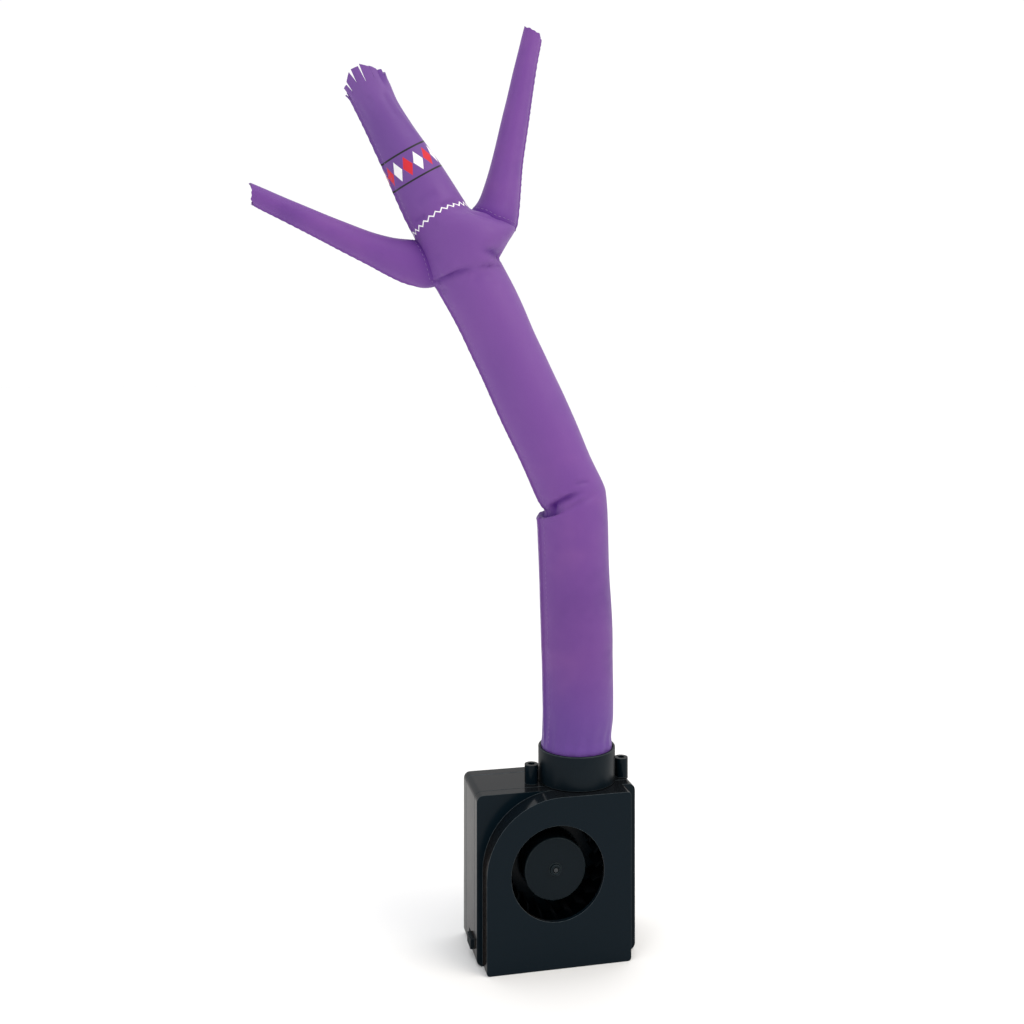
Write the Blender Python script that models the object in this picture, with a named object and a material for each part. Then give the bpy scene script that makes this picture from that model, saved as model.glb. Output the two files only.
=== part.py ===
"""Inflatable air dancer: a sewn cloth figure standing in the collar of a small blower base.

Metres, +Z up. The base's front faces -Y and +X is to its right. The origin is the middle of
the base's footprint on the floor, straight under the vertical plane that the figure sways in.
"""

import math
from collections import namedtuple

import bmesh
import bpy
from mathutils import Vector

MM = 0.001
GAP = 0.3 * MM

# Blower base
CASE_WIDTH = 74.8 * MM
CASE_HEIGHT = 77.0 * MM
CASE_DEPTH = 42.8 * MM
CASE_CORNER = 3.0 * MM
WALL = 2.0 * MM
FRONT_Y = -CASE_DEPTH / 2
SCROLL_LEFT = -34.7 * MM
SCROLL_RIGHT = 32.4 * MM
SCROLL_DEPTH = 9.8 * MM
SCROLL_RADIUS = 34.2 * MM
SCROLL_CORNER = 1.5 * MM
LIP_END = 15.4 * MM
COVER_START = 36.0 * MM
PARTITION_FRONT = 22.0 * MM
PARTITION_TOP = 60.0 * MM
ARC_STEPS = 6

# Fan, turned about a level axis that runs front to back
FAN_X = -2.0 * MM
FAN_Z = 42.8 * MM
INTAKE_RADIUS = 21.6 * MM
HUB_RADIUS = 14.25 * MM
HUB_FRONT = 5.1 * MM
HUB_WALL = 1.6 * MM
FAN_RADIUS = 25.0 * MM
FAN_BACK = 20.0 * MM
FAN_PLATE = 1.5 * MM
BLADE_COUNT = 20
BLADE_INNER = 18.6 * MM
BLADE_THICKNESS = 0.9 * MM
BLADE_ANGLE = math.radians(32)
BOSS_RADIUS = 2.6 * MM
BOSS_FRONT = 3.6 * MM
BOSS_BACK = 10.0 * MM
SHAFT_RADIUS = 1.0 * MM
MOTOR_RADIUS = 10.0 * MM

# Collar and the two hollow posts beside it
COLLAR_X = 12.5 * MM
COLLAR_RADIUS = 18.0 * MM
COLLAR_TOP = 93.0 * MM
COLLAR_INNER = 16.8 * MM
SPIGOT_OUTER = 15.0 * MM
SPIGOT_INNER = 13.6 * MM
SPIGOT_TOP = 91.0 * MM
COLLAR_FLANGE = 1.5 * MM
POST_SPACING = 21.8 * MM
POST_RADIUS = 3.2 * MM
POST_HEIGHT = 8.8 * MM
POST_BORE = 1.6 * MM

# Slide switch low on the left wall
SWITCH_Z = 6.9 * MM
SWITCH_LENGTH = 8.0 * MM
SWITCH_HEIGHT = 4.6 * MM
SWITCH_TRAVEL = 3.0 * MM
SWITCH_FRONT = -4.3 * MM
SWITCH_PROUD = 1.6 * MM
SLOT_DEPTH = 1.2 * MM
RIB_COUNT = 4
RIB_GROOVE = 0.7 * MM

# Cloth
CLOTH = 1.0 * MM
SEAM_HEIGHT = 1.1 * MM
SEAM_HALF_ANGLE = 3.0
TUBE_SIDES = 24
ARM_SIDES = 16
TURNED_SIDES = 48

# A cloth section is a ring through a left and a right edge point, with a depth to front and back.
Section = namedtuple("Section", "name left_x left_z right_x right_z front back seam")

BODY_SECTIONS = [
    Section("foot in the collar", -4.0, 79.3, 29.0, 79.3, 16.5, 16.5, 0),
    Section("collar rim", -4.0, 94.0, 29.0, 94.0, 16.5, 16.5, 0),
    Section("gathered above the rim", -3.6, 98.0, 28.8, 97.0, 15.9, 15.9, 0.6),
    Section("lower tube", -3.5, 110.0, 29.7, 108.0, 16.6, 16.6, 1),
    Section("lower tube", -4.2, 143.0, 29.4, 141.3, 16.7, 16.7, 1),
    Section("lower tube", -5.4, 180.4, 27.6, 180.2, 16.5, 16.5, 1),
    Section("under the fold", -6.2, 196.5, 27.0, 200.0, 16.4, 16.4, 1),
    Section("lip of the fold", -6.6, 202.2, 26.0, 212.6, 16.6, 16.2, 1),
    Section("pit of the fold", -2.8, 204.4, 25.0, 215.6, 15.6, 15.8, 0.3),
    Section("over the fold", -4.6, 206.8, 23.8, 218.2, 16.2, 16.0, 1),
    Section("upper tube", -10.4, 217.8, 18.0, 229.8, 15.8, 15.8, 1),
    Section("upper tube", -19.2, 236.3, 10.0, 248.6, 15.6, 15.6, 1),
    Section("upper tube", -28.0, 255.1, 0.8, 267.7, 15.5, 15.5, 1),
    Section("upper tube", -36.6, 273.6, -8.2, 286.4, 15.5, 15.5, 1),
    Section("upper tube", -45.8, 292.2, -17.0, 305.6, 15.8, 15.8, 1),
    Section("waist", -54.2, 306.6, -24.7, 320.0, 16.2, 16.0, 0.5),
    Section("belly", -57.8, 310.0, -21.4, 327.0, 18.2, 17.4, 0),
    Section("shoulders", -61.0, 317.0, -18.4, 333.6, 19.6, 18.2, 0),
    Section("chest", -62.6, 323.4, -28.0, 340.0, 18.4, 16.8, 0),
    Section("neck", -63.8, 328.8, -38.2, 342.8, 14.6, 14.0, 0.2),
    Section("jaw", -65.6, 332.2, -41.0, 346.4, 14.4, 14.0, 0.8),
    Section("face", -68.6, 338.4, -45.0, 352.4, 14.0, 13.8, 1),
    Section("face", -74.9, 352.6, -53.6, 365.1, 12.9, 12.8, 1),
    Section("brow", -83.0, 370.5, -64.7, 381.2, 11.2, 11.2, 1),
    Section("crown", -88.6, 382.0, -70.3, 392.2, 10.5, 10.5, 1),
    Section("open top", -92.4, 389.0, -74.6, 397.0, 9.8, 9.8, 0.8),
]

LEFT_ARM_SECTIONS = [
    Section("open tip", -137.0, 352.2, -136.2, 342.5, 4.5, 4.5, 1),
    Section("hand", -116.3, 343.9, -120.0, 334.7, 5.0, 5.0, 1),
    Section("forearm", -96.4, 336.1, -101.0, 325.0, 6.0, 6.0, 1),
    Section("elbow", -79.7, 330.5, -85.6, 317.1, 7.4, 7.4, 1),
    Section("upper arm", -71.5, 328.9, -76.5, 312.3, 8.8, 8.6, 1),
    Section("shoulder", -64.0, 328.4, -68.4, 308.7, 10.4, 10.0, 1),
    Section("root", -56.9, 327.1, -59.4, 306.4, 11.4, 10.8, 0),
    Section("root", -49.0, 324.1, -51.0, 308.0, 10.0, 9.6, 0),
]

RIGHT_ARM_SECTIONS = [
    Section("open tip", -12.8, 428.3, -4.7, 423.1, 4.3, 4.3, 1),
    Section("hand", -17.1, 410.9, -7.5, 409.5, 4.9, 4.9, 1),
    Section("forearm", -20.7, 395.9, -9.9, 394.0, 5.5, 5.5, 1),
    Section("elbow", -24.4, 381.1, -12.1, 378.8, 6.3, 6.3, 1),
    Section("elbow", -28.0, 366.0, -14.2, 364.1, 7.0, 7.0, 1),
    Section("upper arm", -31.3, 354.8, -15.2, 352.5, 8.3, 8.2, 1),
    Section("upper arm", -34.3, 347.0, -15.9, 343.4, 9.6, 9.2, 1),
    Section("shoulder", -38.0, 342.4, -17.0, 335.6, 11.2, 10.4, 1),
    Section("root", -42.0, 338.5, -20.7, 328.8, 11.8, 11.0, 0),
]

BODY_SEAM = 170.0
ARM_SEAM = 12.0

# The fringe cut into the top of the head, counted from the right side over the front
STRIP_BAND = 1.5 * MM
STRIP_THICKNESS = 0.8 * MM
Strip = namedtuple("Strip", "angle root_width tip_width length splay")

FRINGE = [
    Strip(6, 3.6, 2.6, 8.0, 4),
    Strip(32, 3.8, 3.0, 8.6, 2),
    Strip(58, 3.8, 3.2, 9.2, 0),
    Strip(84, 4.0, 3.4, 9.6, 2),
    Strip(117, 4.6, 3.8, 9.4, 10),
    Strip(146, 3.8, 3.2, 8.8, 16),
    Strip(171, 3.2, 2.4, 8.4, 22),
    Strip(197, 3.6, 2.6, 6.4, 30),
    Strip(224, 3.8, 3.0, 8.6, 16),
    Strip(251, 3.8, 3.2, 9.0, 8),
    Strip(278, 3.8, 3.0, 8.8, 3),
    Strip(305, 3.8, 3.0, 9.0, 0),
    Strip(331, 3.6, 2.8, 8.4, 3),
]
STRIP_LEAN = math.radians(7)

PLASTIC = ((0.012, 0.014, 0.017, 1), 0.32, 0.0)
FAN_PLASTIC = ((0.010, 0.011, 0.013, 1), 0.42, 0.0)
METAL = ((0.55, 0.55, 0.56, 1), 0.35, 1.0)
PURPLE = ((0.20, 0.085, 0.33, 1), 0.7, 0.0)


def clear_scene():
    """Remove every object, so that the script can be run again."""
    for obj in list(bpy.data.objects):
        bpy.data.objects.remove(obj, do_unlink=True)


def material(name, look):
    """A Principled material from a colour, a roughness and a metallic value."""
    mat = bpy.data.materials.new(name)
    mat.use_nodes = True
    shader = mat.node_tree.nodes["Principled BSDF"]
    shader.inputs["Base Color"].default_value = look[0]
    shader.inputs["Roughness"].default_value = look[1]
    shader.inputs["Metallic"].default_value = look[2]
    mat.diffuse_color = look[0]
    return mat


def new_object(name, bm):
    """Turn a bmesh into an object with its faces pointing out."""
    bmesh.ops.recalc_face_normals(bm, faces=bm.faces)
    mesh = bpy.data.meshes.new(name)
    bm.to_mesh(mesh)
    bm.free()
    obj = bpy.data.objects.new(name, mesh)
    bpy.context.collection.objects.link(obj)
    return obj


def combine(obj, tool, operation):
    """Apply a Boolean with the tool to the object, and delete the tool."""
    modifier = obj.modifiers.new(operation.lower(), "BOOLEAN")
    modifier.operation = operation
    modifier.solver = "EXACT"
    modifier.object = tool
    bpy.context.view_layer.update()
    graph = bpy.context.evaluated_depsgraph_get()
    mesh = bpy.data.meshes.new_from_object(obj.evaluated_get(graph))
    obj.modifiers.clear()
    obj.data = mesh
    bpy.data.objects.remove(tool, do_unlink=True)
    return obj


def add(obj, tool):
    """Union."""
    return combine(obj, tool, "UNION")


def cut(obj, tool):
    """Difference."""
    return combine(obj, tool, "DIFFERENCE")


def finish(obj, look, crease=35):
    """Give the object its material and smooth shading with sharp edges kept."""
    obj.data.materials.clear()
    obj.data.materials.append(look)
    obj.data.shade_smooth()
    obj.data.set_sharp_from_angle(angle=math.radians(crease))
    return obj


def arc(centre_x, centre_z, radius, start, end, steps=ARC_STEPS):
    """Points of an arc, angles in degrees counted from +X towards +Z."""
    points = []
    for step in range(steps + 1):
        angle = math.radians(start + (end - start) * step / steps)
        points.append((centre_x + radius * math.cos(angle), centre_z + radius * math.sin(angle)))
    return points


def case_outline(inset=0.0):
    """The rounded rectangle of the case, seen from the front."""
    half = CASE_WIDTH / 2 - inset
    low, high = inset, CASE_HEIGHT - inset
    radius = CASE_CORNER - min(inset, CASE_CORNER * 0.5)
    points = arc(half - radius, low + radius, radius, -90, 0)
    points += arc(half - radius, high - radius, radius, 0, 90)
    points += arc(-half + radius, high - radius, radius, 90, 180)
    points += arc(-half + radius, low + radius, radius, 180, 270)
    return points


def scroll_outline(inset=0.0):
    """The raised front: square below, with the scroll's large arc at its upper left corner."""
    left, right = SCROLL_LEFT + inset, SCROLL_RIGHT - inset
    low, high = inset, CASE_HEIGHT - inset
    small = SCROLL_CORNER
    large = SCROLL_RADIUS - inset
    points = arc(right - small, low + small, small, -90, 0, 3)
    points += arc(right - small, high - small, small, 0, 90, 3)
    points += arc(left + large, high - large, large, 90, 180, 14)
    points += arc(left + small, low + small, small, 180, 270, 3)
    return points


def prism(name, outline, y_start, y_end):
    """A solid with an outline of (x, z) points, from one depth to another."""
    bm = bmesh.new()
    near = [bm.verts.new((x, y_start, z)) for x, z in outline]
    far = [bm.verts.new((x, y_end, z)) for x, z in outline]
    bm.faces.new(near)
    bm.faces.new(list(reversed(far)))
    count = len(outline)
    for i in range(count):
        j = (i + 1) % count
        bm.faces.new((near[j], near[i], far[i], far[j]))
    return new_object(name, bm)


def block(name, low, high):
    """An upright box between two corners."""
    outline = [(low[0], low[2]), (high[0], low[2]), (high[0], high[2]), (low[0], high[2])]
    return prism(name, outline, low[1], high[1])


def turned(name, profile, centre, axis, sides=TURNED_SIDES):
    """Spin a closed profile of (radius, height) points about an upright or a front-to-back axis."""
    bm = bmesh.new()
    rings = []
    for side in range(sides):
        angle = 2 * math.pi * side / sides
        ring = []
        for radius, height in profile:
            across, up = radius * math.cos(angle), radius * math.sin(angle)
            if axis == "Z":
                place = (centre[0] + across, centre[1] + up, height)
            else:
                place = (centre[0] + across, FRONT_Y + height, centre[1] + up)
            ring.append(bm.verts.new(place))
        rings.append(ring)
    for side in range(sides):
        here, after = rings[side], rings[(side + 1) % sides]
        for i in range(len(profile)):
            j = (i + 1) % len(profile)
            corners = []
            for vert in (here[i], here[j], after[j], after[i]):
                if vert not in corners:
                    corners.append(vert)
            bm.faces.new(corners)
    bmesh.ops.remove_doubles(bm, verts=bm.verts, dist=1e-6)
    return new_object(name, bm)


def rod(name, radius, low, high, centre, axis="Z", sides=TURNED_SIDES):
    """A plain cylinder, as a cutter or as a pin."""
    bm = bmesh.new()
    ends = []
    for height in (low, high):
        ring = []
        for side in range(sides):
            angle = 2 * math.pi * side / sides
            across, up = radius * math.cos(angle), radius * math.sin(angle)
            if axis == "Z":
                ring.append(bm.verts.new((centre[0] + across, centre[1] + up, height)))
            else:
                ring.append(bm.verts.new((centre[0] + across, FRONT_Y + height, centre[1] + up)))
        bm.faces.new(ring)
        ends.append(ring)
    for side in range(sides):
        after = (side + 1) % sides
        bm.faces.new((ends[0][side], ends[0][after], ends[1][after], ends[1][side]))
    return new_object(name, bm)


def outlet_cutter():
    """The round hole in the top of the case, under the collar."""
    return rod("outlet cutter", SPIGOT_INNER, CASE_HEIGHT - 3 * WALL, CASE_HEIGHT + WALL, (COLLAR_X, 0))


def build_fan_cover(look):
    """Front of the case: the raised scroll with the intake, on a lip of the case's full width."""
    overlap = 1.0 * MM
    cover = prism("fan_cover", scroll_outline(), FRONT_Y, FRONT_Y + SCROLL_DEPTH + overlap)
    add(cover, prism("lip", case_outline(), FRONT_Y + SCROLL_DEPTH, FRONT_Y + LIP_END - GAP / 2))
    cut(cover, prism("scroll room", scroll_outline(WALL), FRONT_Y + WALL, FRONT_Y + LIP_END + WALL))
    cut(cover, prism("lip room", case_outline(WALL), FRONT_Y + SCROLL_DEPTH + WALL, FRONT_Y + LIP_END + WALL))
    cut(cover, rod("intake", INTAKE_RADIUS, -WALL, SCROLL_DEPTH, (FAN_X, FAN_Z), "Y"))
    cut(cover, outlet_cutter())
    return finish(cover, look)


def build_post(side):
    """A hollow post on the top of the case."""
    top = CASE_HEIGHT + POST_HEIGHT
    root = CASE_HEIGHT - WALL / 2
    profile = [
        (0.0, root),
        (POST_RADIUS, root),
        (POST_RADIUS, top),
        (POST_BORE, top),
        (POST_BORE, CASE_HEIGHT + WALL),
        (0.0, CASE_HEIGHT + WALL),
    ]
    return turned("post", profile, (COLLAR_X + side * POST_SPACING, 0), "Z", 20)


def build_fan_case(look):
    """Middle of the case: its four walls, the partition that carries the motor, and the posts."""
    front, back = FRONT_Y + LIP_END + GAP / 2, FRONT_Y + COVER_START - GAP / 2
    half = CASE_WIDTH / 2 - WALL / 2
    wall_front = FRONT_Y + PARTITION_FRONT
    case = prism("fan_case", case_outline(), front, back)
    cut(case, prism("room", case_outline(WALL), front - WALL, back + WALL))
    partition = block("partition", (-half, wall_front, WALL / 2), (half, wall_front + WALL, PARTITION_TOP))
    add(case, partition)
    shelf_low = (-half, wall_front + WALL / 2, PARTITION_TOP - WALL)
    add(case, block("shelf", shelf_low, (half, back, PARTITION_TOP)))
    for side in (-1, 1):
        add(case, build_post(side))
    cut(case, outlet_cutter())
    slot_back = SWITCH_FRONT + SWITCH_LENGTH + SWITCH_TRAVEL + GAP
    slot_low = (-CASE_WIDTH / 2 - WALL, SWITCH_FRONT - GAP, SWITCH_Z - SWITCH_HEIGHT / 2 - GAP)
    slot_high = (-CASE_WIDTH / 2 + SLOT_DEPTH, slot_back, SWITCH_Z + SWITCH_HEIGHT / 2 + GAP)
    cut(case, block("slot", slot_low, slot_high))
    return finish(case, look)


def build_battery_cover(look):
    """Back of the case, hollow towards the front."""
    front, back = FRONT_Y + COVER_START + GAP / 2, -FRONT_Y
    cover = prism("battery_cover", case_outline(), front, back)
    cut(cover, prism("cover room", case_outline(WALL), front - WALL, back - WALL))
    return finish(cover, look)


def build_collar(look):
    """Double ring on top of the case: the cloth's foot sits in the slot between its walls."""
    foot = CASE_HEIGHT + GAP
    floor = foot + COLLAR_FLANGE
    profile = [
        (SPIGOT_INNER, foot),
        (COLLAR_RADIUS, foot),
        (COLLAR_RADIUS, COLLAR_TOP),
        (COLLAR_INNER, COLLAR_TOP),
        (COLLAR_INNER, floor),
        (SPIGOT_OUTER, floor),
        (SPIGOT_OUTER, SPIGOT_TOP),
        (SPIGOT_INNER, SPIGOT_TOP),
    ]
    return finish(turned("collar", profile, (COLLAR_X, 0), "Z"), look)


def build_motor(look):
    """Motor can on the partition, with the shaft that carries the fan."""
    can_front = BOSS_BACK + GAP
    can_back = PARTITION_FRONT - GAP
    shaft_front = BOSS_FRONT + GAP
    profile = [
        (0.0, shaft_front),
        (SHAFT_RADIUS, shaft_front),
        (SHAFT_RADIUS, can_front),
        (MOTOR_RADIUS, can_front),
        (MOTOR_RADIUS, can_back),
        (0.0, can_back),
    ]
    return finish(turned("motor", profile, (FAN_X, FAN_Z), "Y", 24), look)


def build_blade(index):
    """One blade on the fan's back plate, slanted to the radius."""
    middle = (BLADE_INNER + FAN_RADIUS) / 2
    half = (FAN_RADIUS - BLADE_INNER) / 2 - 0.4 * MM
    turn = 2 * math.pi * index / BLADE_COUNT
    along = Vector((math.cos(turn + BLADE_ANGLE), math.sin(turn + BLADE_ANGLE))) * half
    across = Vector((-along.y, along.x)).normalized() * BLADE_THICKNESS / 2
    centre = Vector((FAN_X + middle * math.cos(turn), FAN_Z + middle * math.sin(turn)))
    outline = [centre + along + across, centre - along + across, centre - along - across, centre + along - across]
    start = FRONT_Y + HUB_FRONT + HUB_WALL
    end = FRONT_Y + FAN_BACK - FAN_PLATE / 2
    return prism("blade", [tuple(point) for point in outline], start, end)


def build_impeller(look):
    """Fan wheel: hub cup, shaft boss, back plate and a ring of blades."""
    bore = SHAFT_RADIUS + GAP
    inner = HUB_RADIUS - HUB_WALL
    rim = 1.0 * MM
    profile = [
        (bore, BOSS_FRONT),
        (BOSS_RADIUS, BOSS_FRONT),
        (BOSS_RADIUS, HUB_FRONT),
        (HUB_RADIUS - rim, HUB_FRONT),
        (HUB_RADIUS, HUB_FRONT + rim),
        (HUB_RADIUS, FAN_BACK - FAN_PLATE),
        (FAN_RADIUS, FAN_BACK - FAN_PLATE),
        (FAN_RADIUS, FAN_BACK),
        (inner, FAN_BACK),
        (inner, HUB_FRONT + HUB_WALL),
        (BOSS_RADIUS, HUB_FRONT + HUB_WALL),
        (BOSS_RADIUS, BOSS_BACK),
        (bore, BOSS_BACK),
    ]
    wheel = turned("impeller", profile, (FAN_X, FAN_Z), "Y")
    for index in range(BLADE_COUNT):
        add(wheel, build_blade(index))
    return finish(wheel, look)


def build_switch(look):
    """Ribbed slide switch in its slot on the left wall."""
    inner = -CASE_WIDTH / 2 + SLOT_DEPTH - GAP
    outer = -CASE_WIDTH / 2 - SWITCH_PROUD
    low = (outer, SWITCH_FRONT, SWITCH_Z - SWITCH_HEIGHT / 2)
    high = (inner, SWITCH_FRONT + SWITCH_LENGTH, SWITCH_Z + SWITCH_HEIGHT / 2)
    knob = block("switch_knob", low, high)
    for index in range(RIB_COUNT):
        middle = SWITCH_FRONT + SWITCH_LENGTH * (index + 1) / (RIB_COUNT + 1)
        groove_low = (outer - WALL, middle - RIB_GROOVE / 2, low[2] - WALL)
        groove_high = (outer + RIB_GROOVE, middle + RIB_GROOVE / 2, high[2] + WALL)
        cut(knob, block("groove", groove_low, groove_high))
    return finish(knob, look)


def ring_angles(sides, seam):
    """Even angles round a section, with three close ones at the seam that stands out."""
    angles = [360.0 * side / sides for side in range(sides)]
    angles = [angle for angle in angles if abs(angle - seam) > 2 * SEAM_HALF_ANGLE]
    angles += [seam - SEAM_HALF_ANGLE, seam, seam + SEAM_HALF_ANGLE]
    return sorted(angles)


def section_frame(section):
    """Middle of a section and its unit vector from left to right."""
    left = Vector((section.left_x, 0, section.left_z)) * MM
    right = Vector((section.right_x, 0, section.right_z)) * MM
    return (left + right) / 2, (right - left).normalized(), (right - left).length / 2


def section_ring(section, sides, seam, grow, ridge):
    """Points of one section, its wall moved outwards by grow, with the seam's ridge if asked."""
    centre, across, half = section_frame(section)
    points = []
    for angle in ring_angles(sides, seam):
        turn = math.radians(angle)
        depth = (section.front if math.sin(turn) > 0 else section.back) * MM
        extra = grow
        if ridge and angle == seam:
            extra += SEAM_HEIGHT * section.seam
        side = across * (half + extra) * math.cos(turn)
        points.append(centre + side + Vector((0, -(depth + extra) * math.sin(turn), 0)))
    return points


def loft(name, rings):
    """A closed solid through rings of equal counts, with flat ends."""
    bm = bmesh.new()
    rows = [[bm.verts.new(point) for point in ring] for ring in rings]
    count = len(rows[0])
    bm.faces.new(rows[0])
    bm.faces.new(list(reversed(rows[-1])))
    for here, after in zip(rows, rows[1:]):
        for i in range(count):
            j = (i + 1) % count
            bm.faces.new((here[j], here[i], after[i], after[j]))
    return new_object(name, bm)


def hollow_loft(name, sections, sides, seam):
    """A cloth shell through the sections, open at both ends, with its seam standing out."""
    outer = [section_ring(section, sides, seam, 0.0, True) for section in sections]
    inner = [section_ring(section, sides, seam, -CLOTH, False) for section in sections]
    bm = bmesh.new()
    rows_out = [[bm.verts.new(point) for point in ring] for ring in outer]
    rows_in = [[bm.verts.new(point) for point in ring] for ring in inner]
    count = len(rows_out[0])
    for i in range(count):
        j = (i + 1) % count
        for step in range(len(sections) - 1):
            bm.faces.new((rows_out[step][j], rows_out[step][i], rows_out[step + 1][i], rows_out[step + 1][j]))
            bm.faces.new((rows_in[step][i], rows_in[step][j], rows_in[step + 1][j], rows_in[step + 1][i]))
        bm.faces.new((rows_out[0][i], rows_out[0][j], rows_in[0][j], rows_in[0][i]))
        bm.faces.new((rows_out[-1][j], rows_out[-1][i], rows_in[-1][i], rows_in[-1][j]))
    return new_object(name, bm)


def solid_loft(name, sections, sides, seam, grow, ridge=False):
    """The filled form of a cloth tube, its wall moved by grow, with its seam if asked."""
    return loft(name, [section_ring(section, sides, seam, grow, ridge) for section in sections])


def build_tube(look):
    """Body and head in one tube, with the holes that the arms are sewn to."""
    tube = hollow_loft("dancer_tube", BODY_SECTIONS, TUBE_SIDES, BODY_SEAM)
    for sections in (LEFT_ARM_SECTIONS, RIGHT_ARM_SECTIONS):
        cut(tube, solid_loft("armhole", sections, ARM_SIDES, ARM_SEAM, -CLOTH))
    return finish(tube, look)


def build_arm(name, sections, look):
    """A tapered sleeve, open at its tip, ending a gap short of the body's wall."""
    arm = hollow_loft(name, sections, ARM_SIDES, ARM_SEAM)
    torso = [section for section in BODY_SECTIONS if section.left_z > 280]
    cut(arm, solid_loft("torso", torso, TUBE_SIDES, BODY_SEAM, GAP, True))
    return finish(arm, look)


def build_strip(strip, top, centre, across, half, normal):
    """One strip of the fringe: a flat tapering finger that bends outwards."""
    turn = math.radians(strip.angle)
    front = Vector((0, -1, 0))
    depth = (top.front if math.sin(turn) > 0 else top.back) * MM
    wall = CLOTH / 2
    root = centre + across * (half - wall) * math.cos(turn) + front * (depth - wall) * math.sin(turn)
    outward = (across * math.cos(turn) + front * math.sin(turn)).normalized()
    tangent = (front * math.cos(turn) - across * math.sin(turn)).normalized()
    lean = normal * math.cos(STRIP_LEAN) - across * math.sin(STRIP_LEAN)
    rings = []
    for part, bend in ((0.0, 0.0), (0.5, 0.5), (1.0, 1.0)):
        splay = math.radians(strip.splay) * bend
        along = lean * math.cos(splay) + outward * math.sin(splay)
        width = (strip.root_width + (strip.tip_width - strip.root_width) * part) * MM / 2
        start = root + normal * (GAP + STRIP_BAND * 0.4)
        middle = start + along * strip.length * MM * part
        thick = outward * STRIP_THICKNESS / 2
        corners = (-1, -1), (1, -1), (1, 1), (-1, 1)
        rings.append([middle + tangent * width * s + thick * t for s, t in corners])
    return loft("strip", rings)


def build_fringe(look):
    """Hair: strips on a narrow band that sits on the open top of the head."""
    top = BODY_SECTIONS[-1]
    centre, across, half = section_frame(top)
    normal = Vector((-across.z, 0, across.x))
    outer = section_ring(top, TUBE_SIDES, BODY_SEAM, 0.0, False)
    inner = section_ring(top, TUBE_SIDES, BODY_SEAM, -CLOTH, False)
    bm = bmesh.new()
    rows = []
    for ring, height in ((outer, GAP), (outer, GAP + STRIP_BAND), (inner, GAP + STRIP_BAND), (inner, GAP)):
        rows.append([bm.verts.new(point + normal * height) for point in ring])
    count = len(outer)
    for here, after in zip(rows, rows[1:] + rows[:1]):
        for i in range(count):
            j = (i + 1) % count
            bm.faces.new((here[i], here[j], after[j], after[i]))
    fringe = new_object("hair_fringe", bm)
    for strip in FRINGE:
        add(fringe, build_strip(strip, top, centre, across, half, normal))
    return finish(fringe, look)


def main():
    clear_scene()
    plastic = material("black plastic", PLASTIC)
    fan_plastic = material("fan plastic", FAN_PLASTIC)
    metal = material("motor metal", METAL)
    cloth = material("purple cloth", PURPLE)
    build_fan_cover(plastic)
    build_fan_case(plastic)
    build_battery_cover(plastic)
    build_collar(plastic)
    build_motor(metal)
    build_impeller(fan_plastic)
    build_switch(plastic)
    build_tube(cloth)
    build_arm("left_arm", LEFT_ARM_SECTIONS, cloth)
    build_arm("right_arm", RIGHT_ARM_SECTIONS, cloth)
    build_fringe(cloth)


main()
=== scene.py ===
"""Looks of a desktop inflatable air dancer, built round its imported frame.

A sewn cloth figure stands in the collar of a small black blower base. The base's shells, the
collar, the fan wheel and the slide switch are softened and dressed here, and the figure's tube,
arms and hair are thin sheets that follow the sections of the frame's cloth.
"""

import logging
import math
from dataclasses import dataclass, field
from enum import Enum
from typing import Union

import bmesh
import bpy
import numpy as np
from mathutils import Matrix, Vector, noise
from mathutils.bvhtree import BVHTree


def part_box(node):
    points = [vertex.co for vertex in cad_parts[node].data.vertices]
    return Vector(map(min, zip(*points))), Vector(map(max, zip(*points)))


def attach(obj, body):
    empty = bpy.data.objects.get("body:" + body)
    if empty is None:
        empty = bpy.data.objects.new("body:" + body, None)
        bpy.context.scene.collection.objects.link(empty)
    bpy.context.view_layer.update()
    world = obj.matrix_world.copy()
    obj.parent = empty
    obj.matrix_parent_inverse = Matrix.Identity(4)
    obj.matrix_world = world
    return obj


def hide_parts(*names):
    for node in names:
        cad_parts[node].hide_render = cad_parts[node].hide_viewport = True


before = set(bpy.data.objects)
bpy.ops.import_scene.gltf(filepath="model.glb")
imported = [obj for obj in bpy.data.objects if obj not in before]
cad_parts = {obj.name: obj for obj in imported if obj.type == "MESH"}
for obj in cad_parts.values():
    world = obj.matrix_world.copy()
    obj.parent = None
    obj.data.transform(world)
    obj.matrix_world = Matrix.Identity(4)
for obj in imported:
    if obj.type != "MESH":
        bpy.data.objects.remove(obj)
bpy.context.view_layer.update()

MM = 0.001
PLACE = "cloth_place"
# Per-point painted shade on the cloth: in creases, round the armholes and on the hair strips.
PAINTED_SHADE = "cloth_painted_shade"
# Faces of rounded edges, which take a painted highlight and gloss dulled by rubbing.
EDGE_HIGHLIGHT_AND_WEAR = "edge_highlight_and_wear"
NOISE_RANGE = (0.3, 0.7)
POINT_GAP = 1e-6
LOG = logging.getLogger("air_dancer")

Pair = tuple[float, float]
Colour = tuple[float, float, float]
Point = tuple[float, float, float]
Face = tuple[int, ...]
Source = Union[bpy.types.NodeSocket, float, tuple[float, ...]]


class Body(Enum):
    """The groups of the frame that pieces ride on."""

    BASE = "base"
    FAN = "fan"
    SWITCH = "switch"


class Slot(Enum):
    """Names of the record's finishes for the pieces; passed along but not set on them."""

    CASE = "case_plastic"
    FAN = "fan_plastic"
    CLOTH = "tube_cloth"


class Relief(Enum):
    """How a crease shapes the cloth on either side of its line."""

    TROUGH = "trough"
    RIDGE = "ridge"
    TUCK = "tuck"


def smooth_step(value: np.ndarray) -> np.ndarray:
    """Ease a value from 0 to 1 without corners."""
    held = np.clip(value, 0.0, 1.0)
    return held * held * (3.0 - 2.0 * held)


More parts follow.
